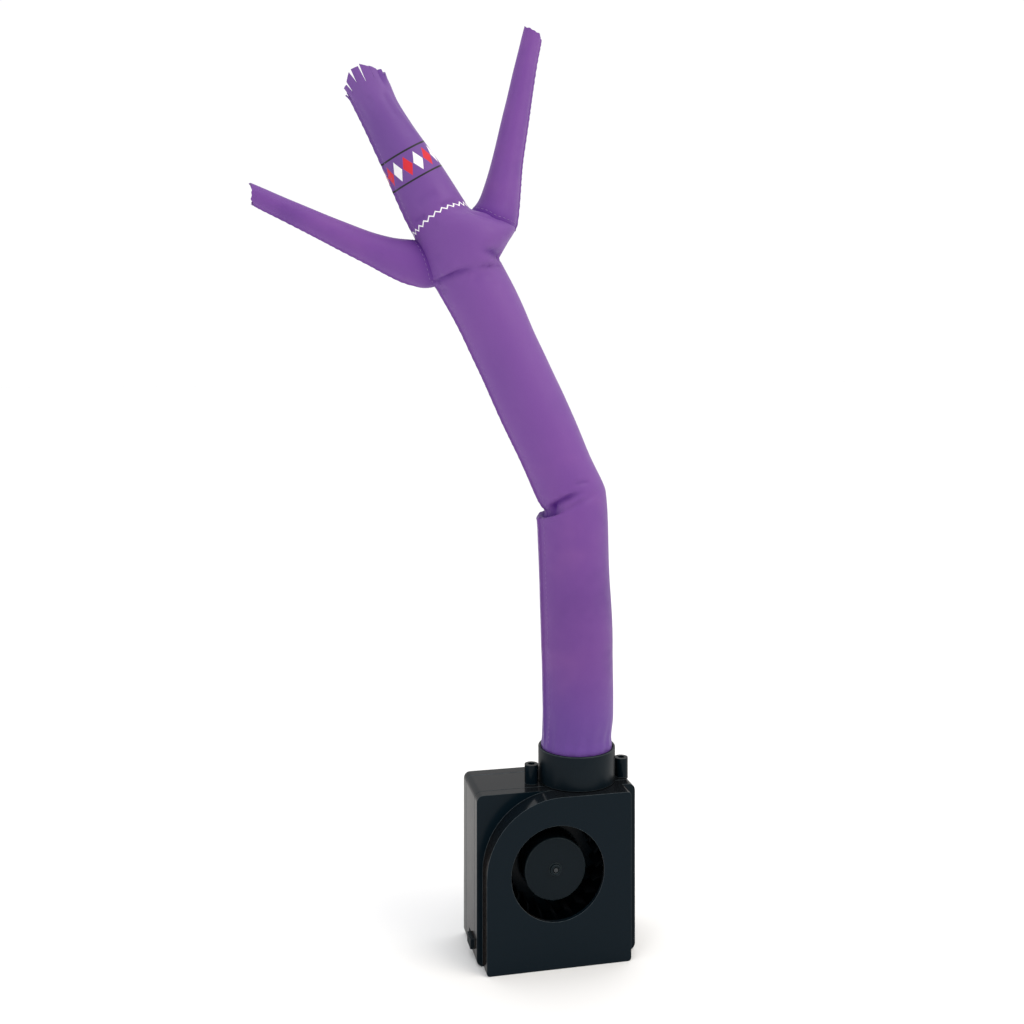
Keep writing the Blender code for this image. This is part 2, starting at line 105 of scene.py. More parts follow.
def monotone_curve(knots: np.ndarray, values: np.ndarray, where: np.ndarray) -> np.ndarray:
    """Read a smooth curve through rows of values, with no swing past them.

    Args:
        knots: Rising places of the rows.
        values: One row of values for each knot.
        where: Places to read the curve at.

    Returns:
        One row of values for each place.
    """
    steps = np.diff(knots)[:, None]
    slopes = np.diff(values, axis=0) / steps
    tangents = np.zeros_like(values)
    product = slopes[:-1] * slopes[1:]
    total = slopes[:-1] + slopes[1:]
    agree = product > 0
    tangents[1:-1][agree] = (2.0 * product[agree]) / total[agree]
    tangents[0], tangents[-1] = slopes[0], slopes[-1]
    index = np.clip(np.searchsorted(knots, where, side="right") - 1, 0, len(knots) - 2)
    span = steps[index]
    t = ((where - knots[index]) / span[:, 0])[:, None]
    start, end = values[index], values[index + 1]
    return (
        (2 * t**3 - 3 * t**2 + 1) * start
        + (t**3 - 2 * t**2 + t) * span * tangents[index]
        + (-2 * t**3 + 3 * t**2) * end
        + (t**3 - t**2) * span * tangents[index + 1]
    )


class NodeWriter:
    """Adds nodes to a tree and links them."""

    def __init__(self, tree: bpy.types.NodeTree) -> None:
        """Keep the tree that the nodes go into."""
        self.tree = tree

    def node(
        self,
        kind: str,
        inputs: dict[str | int, Source] | None = None,
        **settings: object,
    ) -> bpy.types.Node:
        """Add a node, set its properties and fill its inputs.

        Args:
            kind: The node's type name.
            inputs: Sockets or plain values, by the input's name or number.
            **settings: Properties of the node.

        Returns:
            The new node.
        """
        made = self.tree.nodes.new(kind)
        for key, value in settings.items():
            setattr(made, key, value)
        for key, source in (inputs or {}).items():
            self.join(source, made.inputs[key])
        return made

    def join(self, source: Source, target: bpy.types.NodeSocket) -> None:
        """Link a socket to another, or set a plain value on it.

        Args:
            source: A node's output, or a value.
            target: The input that takes it.
        """
        if isinstance(source, bpy.types.NodeSocket):
            self.tree.links.new(source, target)
        else:
            target.default_value = source


class NodePen(NodeWriter):
    """Writes a material's node tree with few words."""

    def __init__(self, name: str) -> None:
        """Start a material with its Principled shader.

        Args:
            name: The material's name.
        """
        self.material = bpy.data.materials.new(name)
        self.material.use_nodes = True
        super().__init__(self.material.node_tree)
        self.shader = self.tree.nodes["Principled BSDF"]

    def give(self, name: str, source: Source) -> None:
        """Give the shader's named input a socket or a plain value."""
        self.join(source, self.shader.inputs[name])

    def math(self, operation: str, *values: Source) -> bpy.types.NodeSocket:
        """Join values by a sum, product or other operation and return the result."""
        return self.node("ShaderNodeMath", dict(enumerate(values)), operation=operation).outputs[0]

    def vector(self, operation: str, *values: Source) -> bpy.types.Node:
        """Join vectors by an operation and return the node."""
        return self.node("ShaderNodeVectorMath", dict(enumerate(values)), operation=operation)

    def spread(
        self,
        value: Source,
        low: float,
        high: float,
        start: float,
        end: float,
    ) -> bpy.types.NodeSocket:
        """Map the range from low to high to one from start to end, eased at both ends."""
        limits = dict(enumerate((value, low, high, start, end)))
        return self.node("ShaderNodeMapRange", limits, interpolation_type="SMOOTHSTEP").outputs[0]

    def noise(
        self,
        place: Source,
        scale: float,
        detail: float = 2.0,
        roughness: float = 0.5,
    ) -> bpy.types.NodeSocket:
        """A smooth random value over a place, in waves of one over the scale."""
        sizes = {"Vector": place, "Scale": scale, "Detail": detail, "Roughness": roughness}
        return self.node("ShaderNodeTexNoise", sizes).outputs["Fac"]

    def mix(self, share: Source, first: Source, second: Source) -> bpy.types.NodeSocket:
        """Mix two colours.

        Args:
            share: How much of the second colour is taken, from 0 to 1.
            first: A colour or a socket.
            second: Another.

        Returns:
            The mixed colour.
        """
        made = self.node("ShaderNodeMix", {"Factor": share}, data_type="RGBA")
        for item, name in ((first, "A"), (second, "B")):
            socket = next(s for s in made.inputs if s.name == name and s.type == "RGBA")
            self.join((*item, 1.0) if isinstance(item, tuple) else item, socket)
        return next(s for s in made.outputs if s.type == "RGBA")

    def bump(
        self,
        height: Source,
        distance: float,
        strength: float = 1.0,
        under: bpy.types.NodeSocket | None = None,
    ) -> bpy.types.NodeSocket:
        """Turn a height into a shading normal.

        Args:
            height: The height from 0 to 1.
            distance: The real height of 1, in metres.
            strength: How much of it shows.
            under: The normal of a larger relief that this one lies on.

        Returns:
            The normal.
        """
        sizes = {"Strength": strength, "Distance": distance, "Height": height}
        if under is not None:
            sizes["Normal"] = under
        return self.node("ShaderNodeBump", sizes).outputs[0]

    def attribute(self, name: str, output: str = "Vector") -> bpy.types.NodeSocket:
        """The vector, or the number as Fac, that a mesh stores under a name."""
        return self.node("ShaderNodeAttribute", attribute_name=name).outputs[output]

    def object_place(self) -> bpy.types.NodeSocket:
        """The place on the object in metres."""
        return self.node("ShaderNodeTexCoord").outputs["Object"]


@dataclass(frozen=True)
class MouldedPlastic:
    """Black moulded plastic: faint skin texture, uneven gloss, and edges with a painted highlight and gloss
    dulled by rubbing.

    Seen at a low angle, between the two grazing limits, its colour turns to a painted reflection and its
    shine drops.
    """

    name: str
    colour: Colour
    # Colour of the painted highlight on the rounded edges.
    edge_highlight: Colour
    roughness: float
    unevenness: float
    skin_size: float
    skin_height: float
    shine: float
    # Colour of the painted reflection seen at a low angle.
    painted_grazing_reflection: Colour = (0.0040, 0.0050, 0.0060)
    grazed_shine: float = 0.3
    grazing: Pair = (0.45, 0.85)
    rub_dulling: float = 0.12
    smear_scale: float = 55.0
    scuff_scale: float = 420.0

    def build(self) -> bpy.types.Material:
        """Write the material.

        Returns:
            The finished material.
        """
        pen = NodePen(self.name)
        place = pen.object_place()
        facing = pen.node("ShaderNodeLayerWeight").outputs["Facing"]
        smear = pen.noise(place, self.smear_scale, 3.0, 0.6)
        scuffs = pen.noise(place, self.scuff_scale, 2.0, 0.7)
        # Painted highlight along the rounded edges, in patches of scuff noise that also dull the gloss like
        # rubbing wear.
        highlight_and_wear = pen.math("MULTIPLY", pen.attribute(EDGE_HIGHLIGHT_AND_WEAR, "Fac"), scuffs)
        # At a low angle the colour turns to a painted reflection.
        colour = pen.mix(pen.spread(facing, *self.grazing, 0.0, 1.0), self.colour, self.painted_grazing_reflection)
        pen.give("Base Color", pen.mix(highlight_and_wear, colour, self.edge_highlight))
        low, high = self.roughness - self.unevenness, self.roughness + self.unevenness
        gloss = pen.spread(smear, *NOISE_RANGE, low, high)
        pen.give("Roughness", pen.math("MULTIPLY_ADD", highlight_and_wear, self.rub_dulling, gloss))
        pen.give("Normal", pen.bump(pen.noise(place, 1.0 / self.skin_size), self.skin_height))
        pen.give("IOR", 1.5)
        level = pen.spread(facing, *self.grazing, self.shine, self.shine * self.grazed_shine)
        pen.give("Specular IOR Level", level)
        return pen.material


@dataclass(frozen=True)
class TurnedSteel:
    """Bare dark steel with fine rings from turning."""

    name: str
    colour: Colour = (0.06, 0.065, 0.07)
    roughness: float = 0.50
    ring_pitch: float = 0.35 * MM
    ring_height: float = 0.01 * MM
    streak_scale: float = 900.0

    def build(self, axis_place: Point) -> bpy.types.Material:
        """Write the material.

        Args:
            axis_place: A point on the level axis that the rings run round.

        Returns:
            The finished material.
        """
        pen = NodePen(self.name)
        centred = pen.vector("SUBTRACT", pen.object_place(), axis_place).outputs[0]
        flat = pen.vector("MULTIPLY", centred, (1.0, 0.0, 1.0)).outputs[0]
        radius = pen.vector("LENGTH", flat).outputs["Value"]
        rings = pen.math("SINE", pen.math("MULTIPLY", radius, 2 * math.pi / self.ring_pitch))
        streaks = pen.noise(centred, self.streak_scale, 2.0, 0.6)
        height = pen.math("MULTIPLY_ADD", rings, 0.4, streaks)
        pen.give("Normal", pen.bump(height, self.ring_height))
        gloss = pen.spread(streaks, *NOISE_RANGE, self.roughness - 0.06, self.roughness + 0.08)
        pen.give("Roughness", gloss)
        pen.give("Base Color", (*self.colour, 1.0))
        pen.give("Metallic", 1.0)
        return pen.material


class Ink(Enum):
    """The printed colours on the cloth."""

    WHITE = (0.84, 0.83, 0.85)
    RED = (0.60, 0.018, 0.032)
    BLACK = (0.012, 0.011, 0.014)


@dataclass(frozen=True)
class PrintedBand:
    """A design of thin lines that is printed round the tube at a station."""

    station: float
    count: int
    line: float
    edge: float = 0.10 * MM

    def stroke(self, pen: NodePen, apart: Source) -> bpy.types.NodeSocket:
        """How much ink a line lays at a distance from its middle."""
        return pen.spread(apart, self.line, self.line + self.edge, 1.0, 0.0)


@dataclass(frozen=True)
class PrintedDiamonds(PrintedBand):
    """A printed band of red and white diamonds between thin black lines, round the head."""

    station: float = 303.5 * MM
    count: int = 14
    line: float = 0.36 * MM
    line_place: float = 6.6 * MM
    half_height: float = 5.2 * MM
    fill: float = 0.90
    softness: float = 0.02

    def ink(self, pen: NodePen, turn: Source, station: Source, cloth: Source) -> bpy.types.NodeSocket:
        """Lay the band over the cloth's colour.

        Args:
            pen: The material being written.
            turn: Share of a turn round the head.
            station: Height along the tube in metres.
            cloth: The colour under the print.

        Returns:
            The colour with the band on it.
        """
        place = pen.math("MULTIPLY", turn, float(self.count))
        across = pen.math("ABSOLUTE", pen.math("SUBTRACT", pen.math("FRACT", place), 0.5))
        up = pen.math("ABSOLUTE", pen.math("SUBTRACT", station, self.station))
        reach = pen.math("MULTIPLY_ADD", across, 2.0, pen.math("DIVIDE", up, self.half_height))
        diamond = pen.spread(reach, self.fill - self.softness, self.fill + self.softness, 1.0, 0.0)
        is_red = pen.math("MODULO", pen.math("FLOOR", place), 2.0)
        colour = pen.mix(diamond, cloth, pen.mix(is_red, Ink.WHITE.value, Ink.RED.value))
        apart = pen.math("ABSOLUTE", pen.math("SUBTRACT", up, self.line_place))
        return pen.mix(self.stroke(pen, apart), colour, Ink.BLACK.value)


@dataclass(frozen=True)
class PrintedZigzag(PrintedBand):
    """A printed white zigzag line round the neck."""

    station: float = 276.0 * MM
    count: int = 26
    line: float = 0.42 * MM
    height: float = 0.95 * MM

    def ink(self, pen: NodePen, turn: Source, station: Source, cloth: Source) -> bpy.types.NodeSocket:
        """Lay the zigzag over the cloth's colour.

        Args:
            pen: The material being written.
            turn: Share of a turn round the neck.
            station: Height along the tube in metres.
            cloth: The colour under the print.

        Returns:
            The colour with the line on it.
        """
        place = pen.math("FRACT", pen.math("MULTIPLY", turn, float(self.count)))
        rise = pen.math("ABSOLUTE", pen.math("SUBTRACT", place, 0.5))
        height = pen.math("MULTIPLY_ADD", rise, 4 * self.height, self.station - self.height)
        apart = pen.math("ABSOLUTE", pen.math("SUBTRACT", station, height))
        return pen.mix(self.stroke(pen, apart), cloth, Ink.WHITE.value)


@dataclass(frozen=True)
class Tone:
    """A colour that the cloth takes on between two stations up the tube."""

    colour: Colour
    start: float
    end: float


@dataclass(frozen=True)
class WovenCloth:
    """Thin plain-woven cloth: fine yarns, uneven dye, a soft bloom at a low angle and painted shade."""

    name: str
    colour: Colour = (0.160, 0.052, 0.282)
    deep: Colour = (0.130, 0.041, 0.250)
    warm: Colour = (0.196, 0.068, 0.304)
    # Colour of the painted shade in creases and hollows.
    painted_shade_colour: Colour = (0.074, 0.015, 0.200)
    tones: tuple[Tone, ...] = (
        Tone((0.166, 0.060, 0.288), 120 * MM, 200 * MM),
        Tone((0.135, 0.056, 0.264), 265 * MM, 320 * MM),
        Tone((0.168, 0.071, 0.296), 326 * MM, 343 * MM),
    )
    tone_share: float = 0.8
    foot: Tone = Tone((0.126, 0.052, 0.296), 15 * MM, 62 * MM)
    foot_share: float = 0.0
    # Painted shade that darkens the tube towards its foot, over the reach of stations below.
    foot_painted_shade: float = 1.0
    painted_shade_reach: Pair = (60 * MM, 170 * MM)
    blotch_scale: float = 26.0
    deep_range: Pair = (0.30, 0.52)
    warm_range: Pair = (0.50, 0.74)
    slack_scale: float = 190.0
    slack_height: float = 0.10 * MM
    yarn: float = 0.26 * MM
    yarn_height: float = 0.016 * MM
    yarn_shade: Pair = (0.14, 0.90)
    roughness: float = 0.56
    unevenness: float = 0.05
    shine: float = 0.30
    # Shine where the painted shade is full.
    crease_shine: float = 0.04
    sheen: float = 0.09
    sheen_tint: Colour = (0.80, 0.70, 0.88)

    def weave(self, pen: NodePen, arc: Source, station: Source) -> bpy.types.NodeSocket:
        """The height of the yarns that cross over and under each other.

        Args:
            pen: The material being written.
            arc: Way round the tube from the seam, in metres.
            station: Height along the tube in metres.

        Returns:
            The height from 0 to 1.
        """
        across, along = (
            pen.math("SINE", pen.math("MULTIPLY", way, math.pi / self.yarn)) for way in (arc, station)
        )
        return pen.math("MULTIPLY_ADD", pen.math("MULTIPLY", across, along), 0.5, 0.5)

    def dye(self, pen: NodePen, place: Source, station: Source, painted_shade: Source) -> bpy.types.NodeSocket:
        """The cloth's uneven colour with its painted shade, before its yarns and its print.

        Args:
            pen: The material being written.
            place: The place on the object.
            station: Height along the tube in metres.
            painted_shade: The painted shade in creases and hollows, from 0 to 1.

        Returns:
            The colour.
        """
        blotch = pen.noise(place, self.blotch_scale, 3.0, 0.55)
        colour = pen.mix(pen.spread(blotch, *self.deep_range, 1.0, 0.0), self.colour, self.deep)
        colour = pen.mix(pen.spread(blotch, *self.warm_range, 0.0, 1.0), colour, self.warm)
        for tone in self.tones:
            share = pen.spread(station, tone.start, tone.end, 0.0, self.tone_share)
            colour = pen.mix(share, colour, tone.colour)
        share = pen.spread(station, self.foot.start, self.foot.end, self.foot_share, 0.0)
        colour = pen.mix(share, colour, self.foot.colour)
        # Painted shade in creases and hollows.
        return pen.mix(painted_shade, colour, self.painted_shade_colour)

    def build(self, prints: tuple[PrintedDiamonds | PrintedZigzag, ...] = ()) -> bpy.types.Material:
        """Write the material.

        Args:
            prints: Printed designs that this piece carries, lowest first.

        Returns:
            The finished material.
        """
        pen = NodePen(self.name)
        place, painted_shade = pen.object_place(), pen.attribute(PAINTED_SHADE, "Fac")
        turn, station, arc = pen.node("ShaderNodeSeparateXYZ", {0: pen.attribute(PLACE)}).outputs
        weave = self.weave(pen, arc, station)
        # Yarn shading times the painted shade towards the foot.
        foot = pen.spread(station, *self.painted_shade_reach, self.foot_painted_shade, 1.0)
        darkness = pen.math("MULTIPLY", pen.math("MULTIPLY_ADD", weave, *self.yarn_shade), foot)
        shaded = {0: self.dye(pen, place, station, painted_shade), "Scale": darkness}
        colour = pen.node("ShaderNodeVectorMath", shaded, operation="SCALE").outputs[0]
        for design in prints:
            colour = design.ink(pen, turn, station, colour)
        pen.give("Base Color", colour)
        slack = pen.noise(place, self.slack_scale, 3.0, 0.6)
        soft = pen.bump(slack, self.slack_height, 0.6)
        pen.give("Normal", pen.bump(weave, self.yarn_height, 0.8, soft))
        low, high = self.roughness - self.unevenness, self.roughness + self.unevenness
        pen.give("Roughness", pen.spread(slack, *NOISE_RANGE, low, high))
        # Shine and sheen fade where the painted shade lies.
        pen.give("Specular IOR Level", pen.spread(painted_shade, 0.0, 1.0, self.shine, self.crease_shine))
        pen.give("Sheen Weight", pen.spread(painted_shade, 0.0, 1.0, self.sheen, 0.0))
        pen.give("Sheen Roughness", 0.45)
        pen.give("Sheen Tint", (*self.sheen_tint, 1.0))
        return pen.material


@dataclass(frozen=True)
class SewingThread:
    """Twisted sewing thread, a little lighter than the cloth."""

    name: str
    colour: Colour = (0.26, 0.13, 0.39)
    darker: float = 0.7
    twist: float = 0.25 * MM
    twist_height: float = 0.02 * MM

    def build(self) -> bpy.types.Material:
        """Write the material.

        Returns:
            The finished material.
        """
        pen = NodePen(self.name)
        sizes = {"Vector": pen.object_place(), "Scale": 1.0 / self.twist}
        bands = pen.node("ShaderNodeTexWave", sizes, wave_type="BANDS", bands_direction="DIAGONAL")
        wave = bands.outputs["Fac"]
        darker = tuple(self.darker * value for value in self.colour)
        pen.give("Base Color", pen.mix(wave, darker, self.colour))
        pen.give("Normal", pen.bump(wave, self.twist_height))
        pen.give("Roughness", 0.6)
        return pen.material


def link_object(name: str, data: bpy.types.ID) -> bpy.types.Object:
    """Put a mesh, light or camera into the scene.

    Args:
        name: The object's name.
        data: What it shows.

    Returns:
        The new object, at the origin.
    """
    made = bpy.data.objects.new(name, data)
    bpy.context.scene.collection.objects.link(made)
    return made


def link_mesh(
    name: str,
    vertices: np.ndarray | list[Point],
    faces: list[Face],
    edges: list[Face] | None = None,
) -> bpy.types.Object:
    """Make an object at the origin from points, faces and loose edges.

    Args:
        name: The object's name.
        vertices: Points in metres.
        faces: Numbers of each face's points.
        edges: Numbers of each loose edge's points.

    Returns:
        The new object.
    """
    mesh = bpy.data.meshes.new(name)
    mesh.from_pydata([tuple(v) for v in vertices], edges or [], faces)
    mesh.update()
    return link_object(name, mesh)


def baked_mesh(made: bpy.types.Object) -> bpy.types.Mesh:
    """Work an object's modifiers into a new plain mesh.

    Args:
        made: An object with modifiers.

    Returns:
        The new mesh.
    """
    bpy.context.view_layer.update()
    graph = bpy.context.evaluated_depsgraph_get()
    return bpy.data.meshes.new_from_object(made.evaluated_get(graph), depsgraph=graph)


def settle(made: bpy.types.Object) -> bpy.types.Object:
    """Turn an object and its modifiers into one plain mesh.

    Args:
        made: An object with modifiers.

    Returns:
        The same object, with no modifiers left.
    """
    mesh = baked_mesh(made)
    mesh.name = made.name
    made.modifiers.clear()
    made.data = mesh
    return made


def clean_mesh(mesh: bpy.types.Mesh, gap: float, outwards: bool = False, flat_angle: float = 0.0) -> None:
    """Merge a mesh's doubles and, if asked, join its flat faces and turn them all outwards.

    Args:
        mesh: The mesh, changed in place.
        gap: Points that are closer than this are merged.
        outwards: True to turn the faces of a closed mesh outwards.
        flat_angle: Faces that meet at less than this angle are joined.
    """
    work = bmesh.new()
    work.from_mesh(mesh)
    bmesh.ops.remove_doubles(work, verts=work.verts, dist=gap)
    if flat_angle:
        bmesh.ops.dissolve_limit(work, angle_limit=flat_angle, verts=work.verts, edges=work.edges)
    if outwards:
        bmesh.ops.recalc_face_normals(work, faces=work.faces)
    work.to_mesh(mesh)
    work.free()


def shade(made: bpy.types.Object, finish: bpy.types.Material, crease: float = 40.0) -> None:
    """Give a mesh its finish and smooth shading with its sharp edges kept.

    Args:
        made: The mesh object.
        finish: Its material.
        crease: Angle in degrees past which an edge stays sharp.
    """
    made.data.materials.clear()
    made.data.materials.append(finish)
    made.data.shade_smooth()
    made.data.set_sharp_from_angle(angle=math.radians(crease))


def mark_highlight_and_wear_edges(made: bpy.types.Object, rounded: list[bool]) -> None:
    """Keep on a mesh which of its faces are rounded edges, where a highlight is painted and rubbing dulls
    the gloss.
    """
    attribute = made.data.attributes.new(EDGE_HIGHLIGHT_AND_WEAR, "FLOAT", "FACE")
    attribute.data.foreach_set("value", [float(value) for value in rounded])


def hand_over(made: bpy.types.Object, body: Body, slot: Slot, *nodes: str) -> None:
    """Put a finished piece on its body, in the place of frame nodes.

    Args:
        made: The piece.
        body: The body it rides on.
        slot: The record's finish meant for it; not used.
        *nodes: Frame nodes that it stands for.
    """
    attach(made, body.value)
    if nodes:
        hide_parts(*nodes)
    LOG.info("%s: %d faces on %s", made.name, len(made.data.polygons), body.value)


def rounded_outline(corners: list[Pair], radius: float, steps: int = 3) -> list[Pair]:
    """Round every corner of a closed outline.

    Args:
        corners: The outline's corners as (radius, height).
        radius: The size of the rounding.
        steps: Pieces of each rounding.

    Returns:
        The points of the rounded outline.
    """
    points = []
    for i, corner in enumerate(corners):
        here = Vector(corner)
        before = Vector(corners[i - 1]) - here
        after = Vector(corners[(i + 1) % len(corners)]) - here
        reach = min(radius, 0.45 * before.length, 0.45 * after.length)
        start, end = here + before.normalized() * reach, here + after.normalized() * reach
        for step in range(steps + 1):
            t = step / steps
            point = start * (1 - t) ** 2 + here * 2 * t * (1 - t) + end * t**2
            points.append((point.x, point.y))
    return points


def turned(name: str, outline: list[Pair], centre: Point, level: bool, sides: int = 128) -> bpy.types.Object:
    """Turn a closed outline round an axis.

    Args:
        name: The piece's name.
        outline: Points as (radius, height along the axis).
        centre: A point on the axis.
        level: True for an axis from front to back, False for an upright one.
        sides: Steps round the axis.

    Returns:
        The turned object.
    """
    vertices = []
    for side in range(sides):
        angle = 2 * math.pi * side / sides
        for radius, height in outline:
            across, up = radius * math.cos(angle), radius * math.sin(angle)
            if level:
                vertices.append((centre[0] + across, height, centre[2] + up))
            else:
                vertices.append((centre[0] + across, centre[1] + up, height))
    count = len(outline)
    faces = []
    for side in range(sides):
        here, after = side * count, (side + 1) % sides * count
        for i in range(count):
            j = (i + 1) % count
            faces.append((here + i, here + j, after + j, after + i))
    made = link_mesh(name, vertices, faces)
    clean_mesh(made.data, POINT_GAP, outwards=True)
    axis = 1 if level else 2
    # Rounded corners take the painted edge highlight and the gloss dulled by rubbing.
    mark_highlight_and_wear_edges(made, [0.12 < abs(face.normal[axis]) < 0.97 for face in made.data.polygons])
    return made


class GeometryTree(NodeWriter):
    """A Geometry Nodes tree with named inputs, run once on an object."""

    def __init__(self, name: str) -> None:
        """Start an empty tree.

        Args:
            name: The tree's name.
        """
        super().__init__(bpy.data.node_groups.new(name, "GeometryNodeTree"))
        for way in ("INPUT", "OUTPUT"):
            self.tree.interface.new_socket("Geometry", in_out=way, socket_type="NodeSocketGeometry")
        self.values: dict[str, object] = {}
        self.source: bpy.types.Node | None = None

    def size(self, name: str, value: object, kind: str = "NodeSocketFloat") -> None:
        """Declare a named input and its value."""
        socket = self.tree.interface.new_socket(name, in_out="INPUT", socket_type=kind)
        self.values[socket.identifier] = value

    def given(self, name: str) -> bpy.types.NodeSocket:
        """The socket of a named input, once all of them are declared.

        Args:
            name: The input's name.

        Returns:
            Its socket.
        """
        if self.source is None:
            self.source = self.tree.nodes.new("NodeGroupInput")
        return self.source.outputs[name]

    def finish(self, geometry: bpy.types.NodeSocket) -> None:
        """End the tree: real geometry with its material set.

        Args:
            geometry: The geometry that the tree has made.
        """
        real = self.node("GeometryNodeRealizeInstances", {"Geometry": geometry}).outputs["Geometry"]
        dressing = {"Geometry": real, "Material": self.given("Material")}
        painted = self.node("GeometryNodeSetMaterial", dressing).outputs["Geometry"]
        self.node("NodeGroupOutput", {"Geometry": painted})

    def run(self, carrier: bpy.types.Object) -> bpy.types.Object:
        """Run the tree on a carrier object and keep the result as its mesh.

        Args:
            carrier: The object whose geometry goes into the tree.

        Returns:
            A mesh object with the carrier's name.
        """
        modifier = carrier.modifiers.new(self.tree.name, "NODES")
        modifier.node_group = self.tree
        for identifier, value in self.values.items():
            modifier[identifier] = value
        name, mesh = carrier.name, baked_mesh(carrier)
        bpy.data.objects.remove(carrier)
        return link_object(name, mesh)


@dataclass(frozen=True)
class Ring:
    """A cross-section of cloth through a left and a right edge point, in millimetres.

    The lift carries the front of the ring along the tube, as where the chest bulges over.
    """

    left: Pair
    right: Pair
    front: float
    back: float
    seam: float = 1.0
    lift: float = 0.0

    def row(self) -> tuple[float, ...]:
        """The ring's numbers in a fixed order."""
        return (*self.left, *self.right, self.front, self.back, self.seam, self.lift)


@dataclass(frozen=True)
class Crease:
    """A line sunk into the cloth or raised from it.

    The path holds (angle in degrees, station in millimetres) points: the angle is counted from
    the right edge over the front, and the station up the tube's middle line.
    """

    path: tuple[Pair, ...]
    depth: float
    width: float
    kind: Relief = Relief.TROUGH
    reach: float = 8.0
    fade_in: float = 0.25
    fade_out: float = 0.25


@dataclass
class ClothTube:
    """A sewn cloth tube through a table of rings, with its seam, creases and slack."""

    name: str
    rings: tuple[Ring, ...]
    seam_angle: float
    columns: int
    row_step: float
    creases: tuple[Crease, ...] = ()
    # Crease depth in millimetres at which the painted shade is full.
    full_crease: float = 2.6
    seam_height: float = 0.9
    seam_width: float = 0.32
    slack: float = 0.22
    slack_size: float = 17.0
    pucker: float = 0.12
    pucker_pitch: float = 3.1
    pucker_reach: float = 2.4
    tilt: tuple[Pair, ...] = ((0.0, 0.0), (360.0, 0.0))
    tilt_station: float = 130.0
    tilt_reach: float = 14.0
    close_rows: float = 0.0
    close_reach: float = 8.0
    gather: float = 0.0
    gather_station: float = 19.0
    gather_reach: float = 8.0
    ragged: float = 0.0
    ragged_reach: float = 3.0
    painted_shade_power: float = 1.3
    beside_seam: tuple[float, ...] = (0.0, 0.6, 1.2, 2.1, 3.4, 5.2)
    knots: np.ndarray = field(init=False)
    table: np.ndarray = field(init=False)

    def __post_init__(self) -> None:
        """Work out the stations of the rings."""
        self.table = np.array([ring.row() for ring in self.rings])
        middles = (self.table[:, 0:2] + self.table[:, 2:4]) / 2
        lengths = np.linalg.norm(np.diff(middles, axis=0), axis=1)
        self.knots = np.concatenate([[0.0], np.cumsum(lengths)])

    @property
    def length(self) -> float:
        """The length of the middle line in millimetres."""
        return float(self.knots[-1])

    def stations(self) -> np.ndarray:
        """Stations from end to end, closer together where the cloth folds over.

        Returns:
            The rising stations in millimetres.
        """
        fine = np.linspace(0.0, self.length, 4001)
        middle = self.tilt_station + self.close_reach / 2
        weight = 1.0 + self.close_rows * np.exp(-(((fine - middle) / self.close_reach) ** 2))
        steps = (weight[1:] + weight[:-1]) / 2 * np.diff(fine)
        total = np.concatenate([[0.0], np.cumsum(steps)])
        count = int(round(total[-1] / self.row_step))
        return np.interp(np.linspace(0.0, total[-1], count + 1), total, fine)

    def angles(self) -> np.ndarray:
        """Angles round the tube from the seam on, with close ones beside the seam.

        Returns:
            The angles in degrees, where the last is a full turn after the first.
        """
        beside = np.array(self.beside_seam)
        even = np.linspace(beside[-1], 360.0 - beside[-1], self.columns)
        turns = np.concatenate([beside, even[1:-1], 360.0 - beside[:0:-1]])
        return self.seam_angle + turns

    def levels(self, stations: np.ndarray, angles: np.ndarray) -> np.ndarray:
        """Stations of every point on the table of rings, where the fold lifts them by angle.

        Args:
            stations: Stations of the rows.
            angles: Angles of the columns.

        Returns:
            One station for each point of the grid.
        """
        known = np.array(self.tilt)
        rise = np.interp(angles % 360.0, known[:, 0], known[:, 1])
        near = np.exp(-(((stations - self.tilt_station) / self.tilt_reach) ** 2))
        return stations[:, None] - near[:, None] * rise[None, :]

    def form(self, stations: np.ndarray, angles: np.ndarray) -> np.ndarray:
        """Points of the plain tube, in millimetres.

        Args:
            stations: Stations of the rows.
            angles: Angles of the columns.

        Returns:
            The grid of points.
        """
        levels = self.levels(stations, angles)
        rows = monotone_curve(self.knots, self.table, levels.reshape(-1)).reshape(*levels.shape, 8)
        still = np.zeros(levels.shape)
        left = np.stack([rows[..., 0], still, rows[..., 1]], axis=2)
        right = np.stack([rows[..., 2], still, rows[..., 3]], axis=2)
        middle, half = (left + right) / 2, (right - left) / 2
        turn = np.radians(angles)
        cosine, sine = np.cos(turn)[None, :], np.sin(turn)[None, :]
        depth = np.where(sine > 0, rows[..., 4], rows[..., 5]) * sine
        across = half / np.linalg.norm(half, axis=2, keepdims=True)
        along = np.stack([-across[..., 2], still, across[..., 0]], axis=2)
        along *= np.sign((along * np.gradient(middle, axis=0)).sum(2, keepdims=True))
        points = middle + half * cosine[:, :, None]
        points[:, :, 1] -= depth
        lift = rows[..., 7] * np.clip(sine, 0.0, 1.0) ** 2
        tip = np.exp(-stations / self.ragged_reach)[:, None] * self.ragged
        uneven = np.sin(3 * turn + 1.1) + 0.7 * np.sin(5 * turn + 0.4) + 0.5 * np.sin(11 * turn)
        return points + along * (lift + tip * uneven[None, :])[:, :, None]

    def normals(self, points: np.ndarray) -> np.ndarray:
        """Outward unit normals of a closed grid.

        Args:
            points: The grid of points.

        Returns:
            One unit vector for each of them.
        """
        along = np.gradient(points, axis=0)
        around = np.roll(points, -1, axis=1) - np.roll(points, 1, axis=1)
        normal = np.cross(along, around)
        normal /= np.linalg.norm(normal, axis=2, keepdims=True) + 1e-12
        outward = points - points.mean(axis=1, keepdims=True)
        return normal * np.sign((normal * outward).sum())

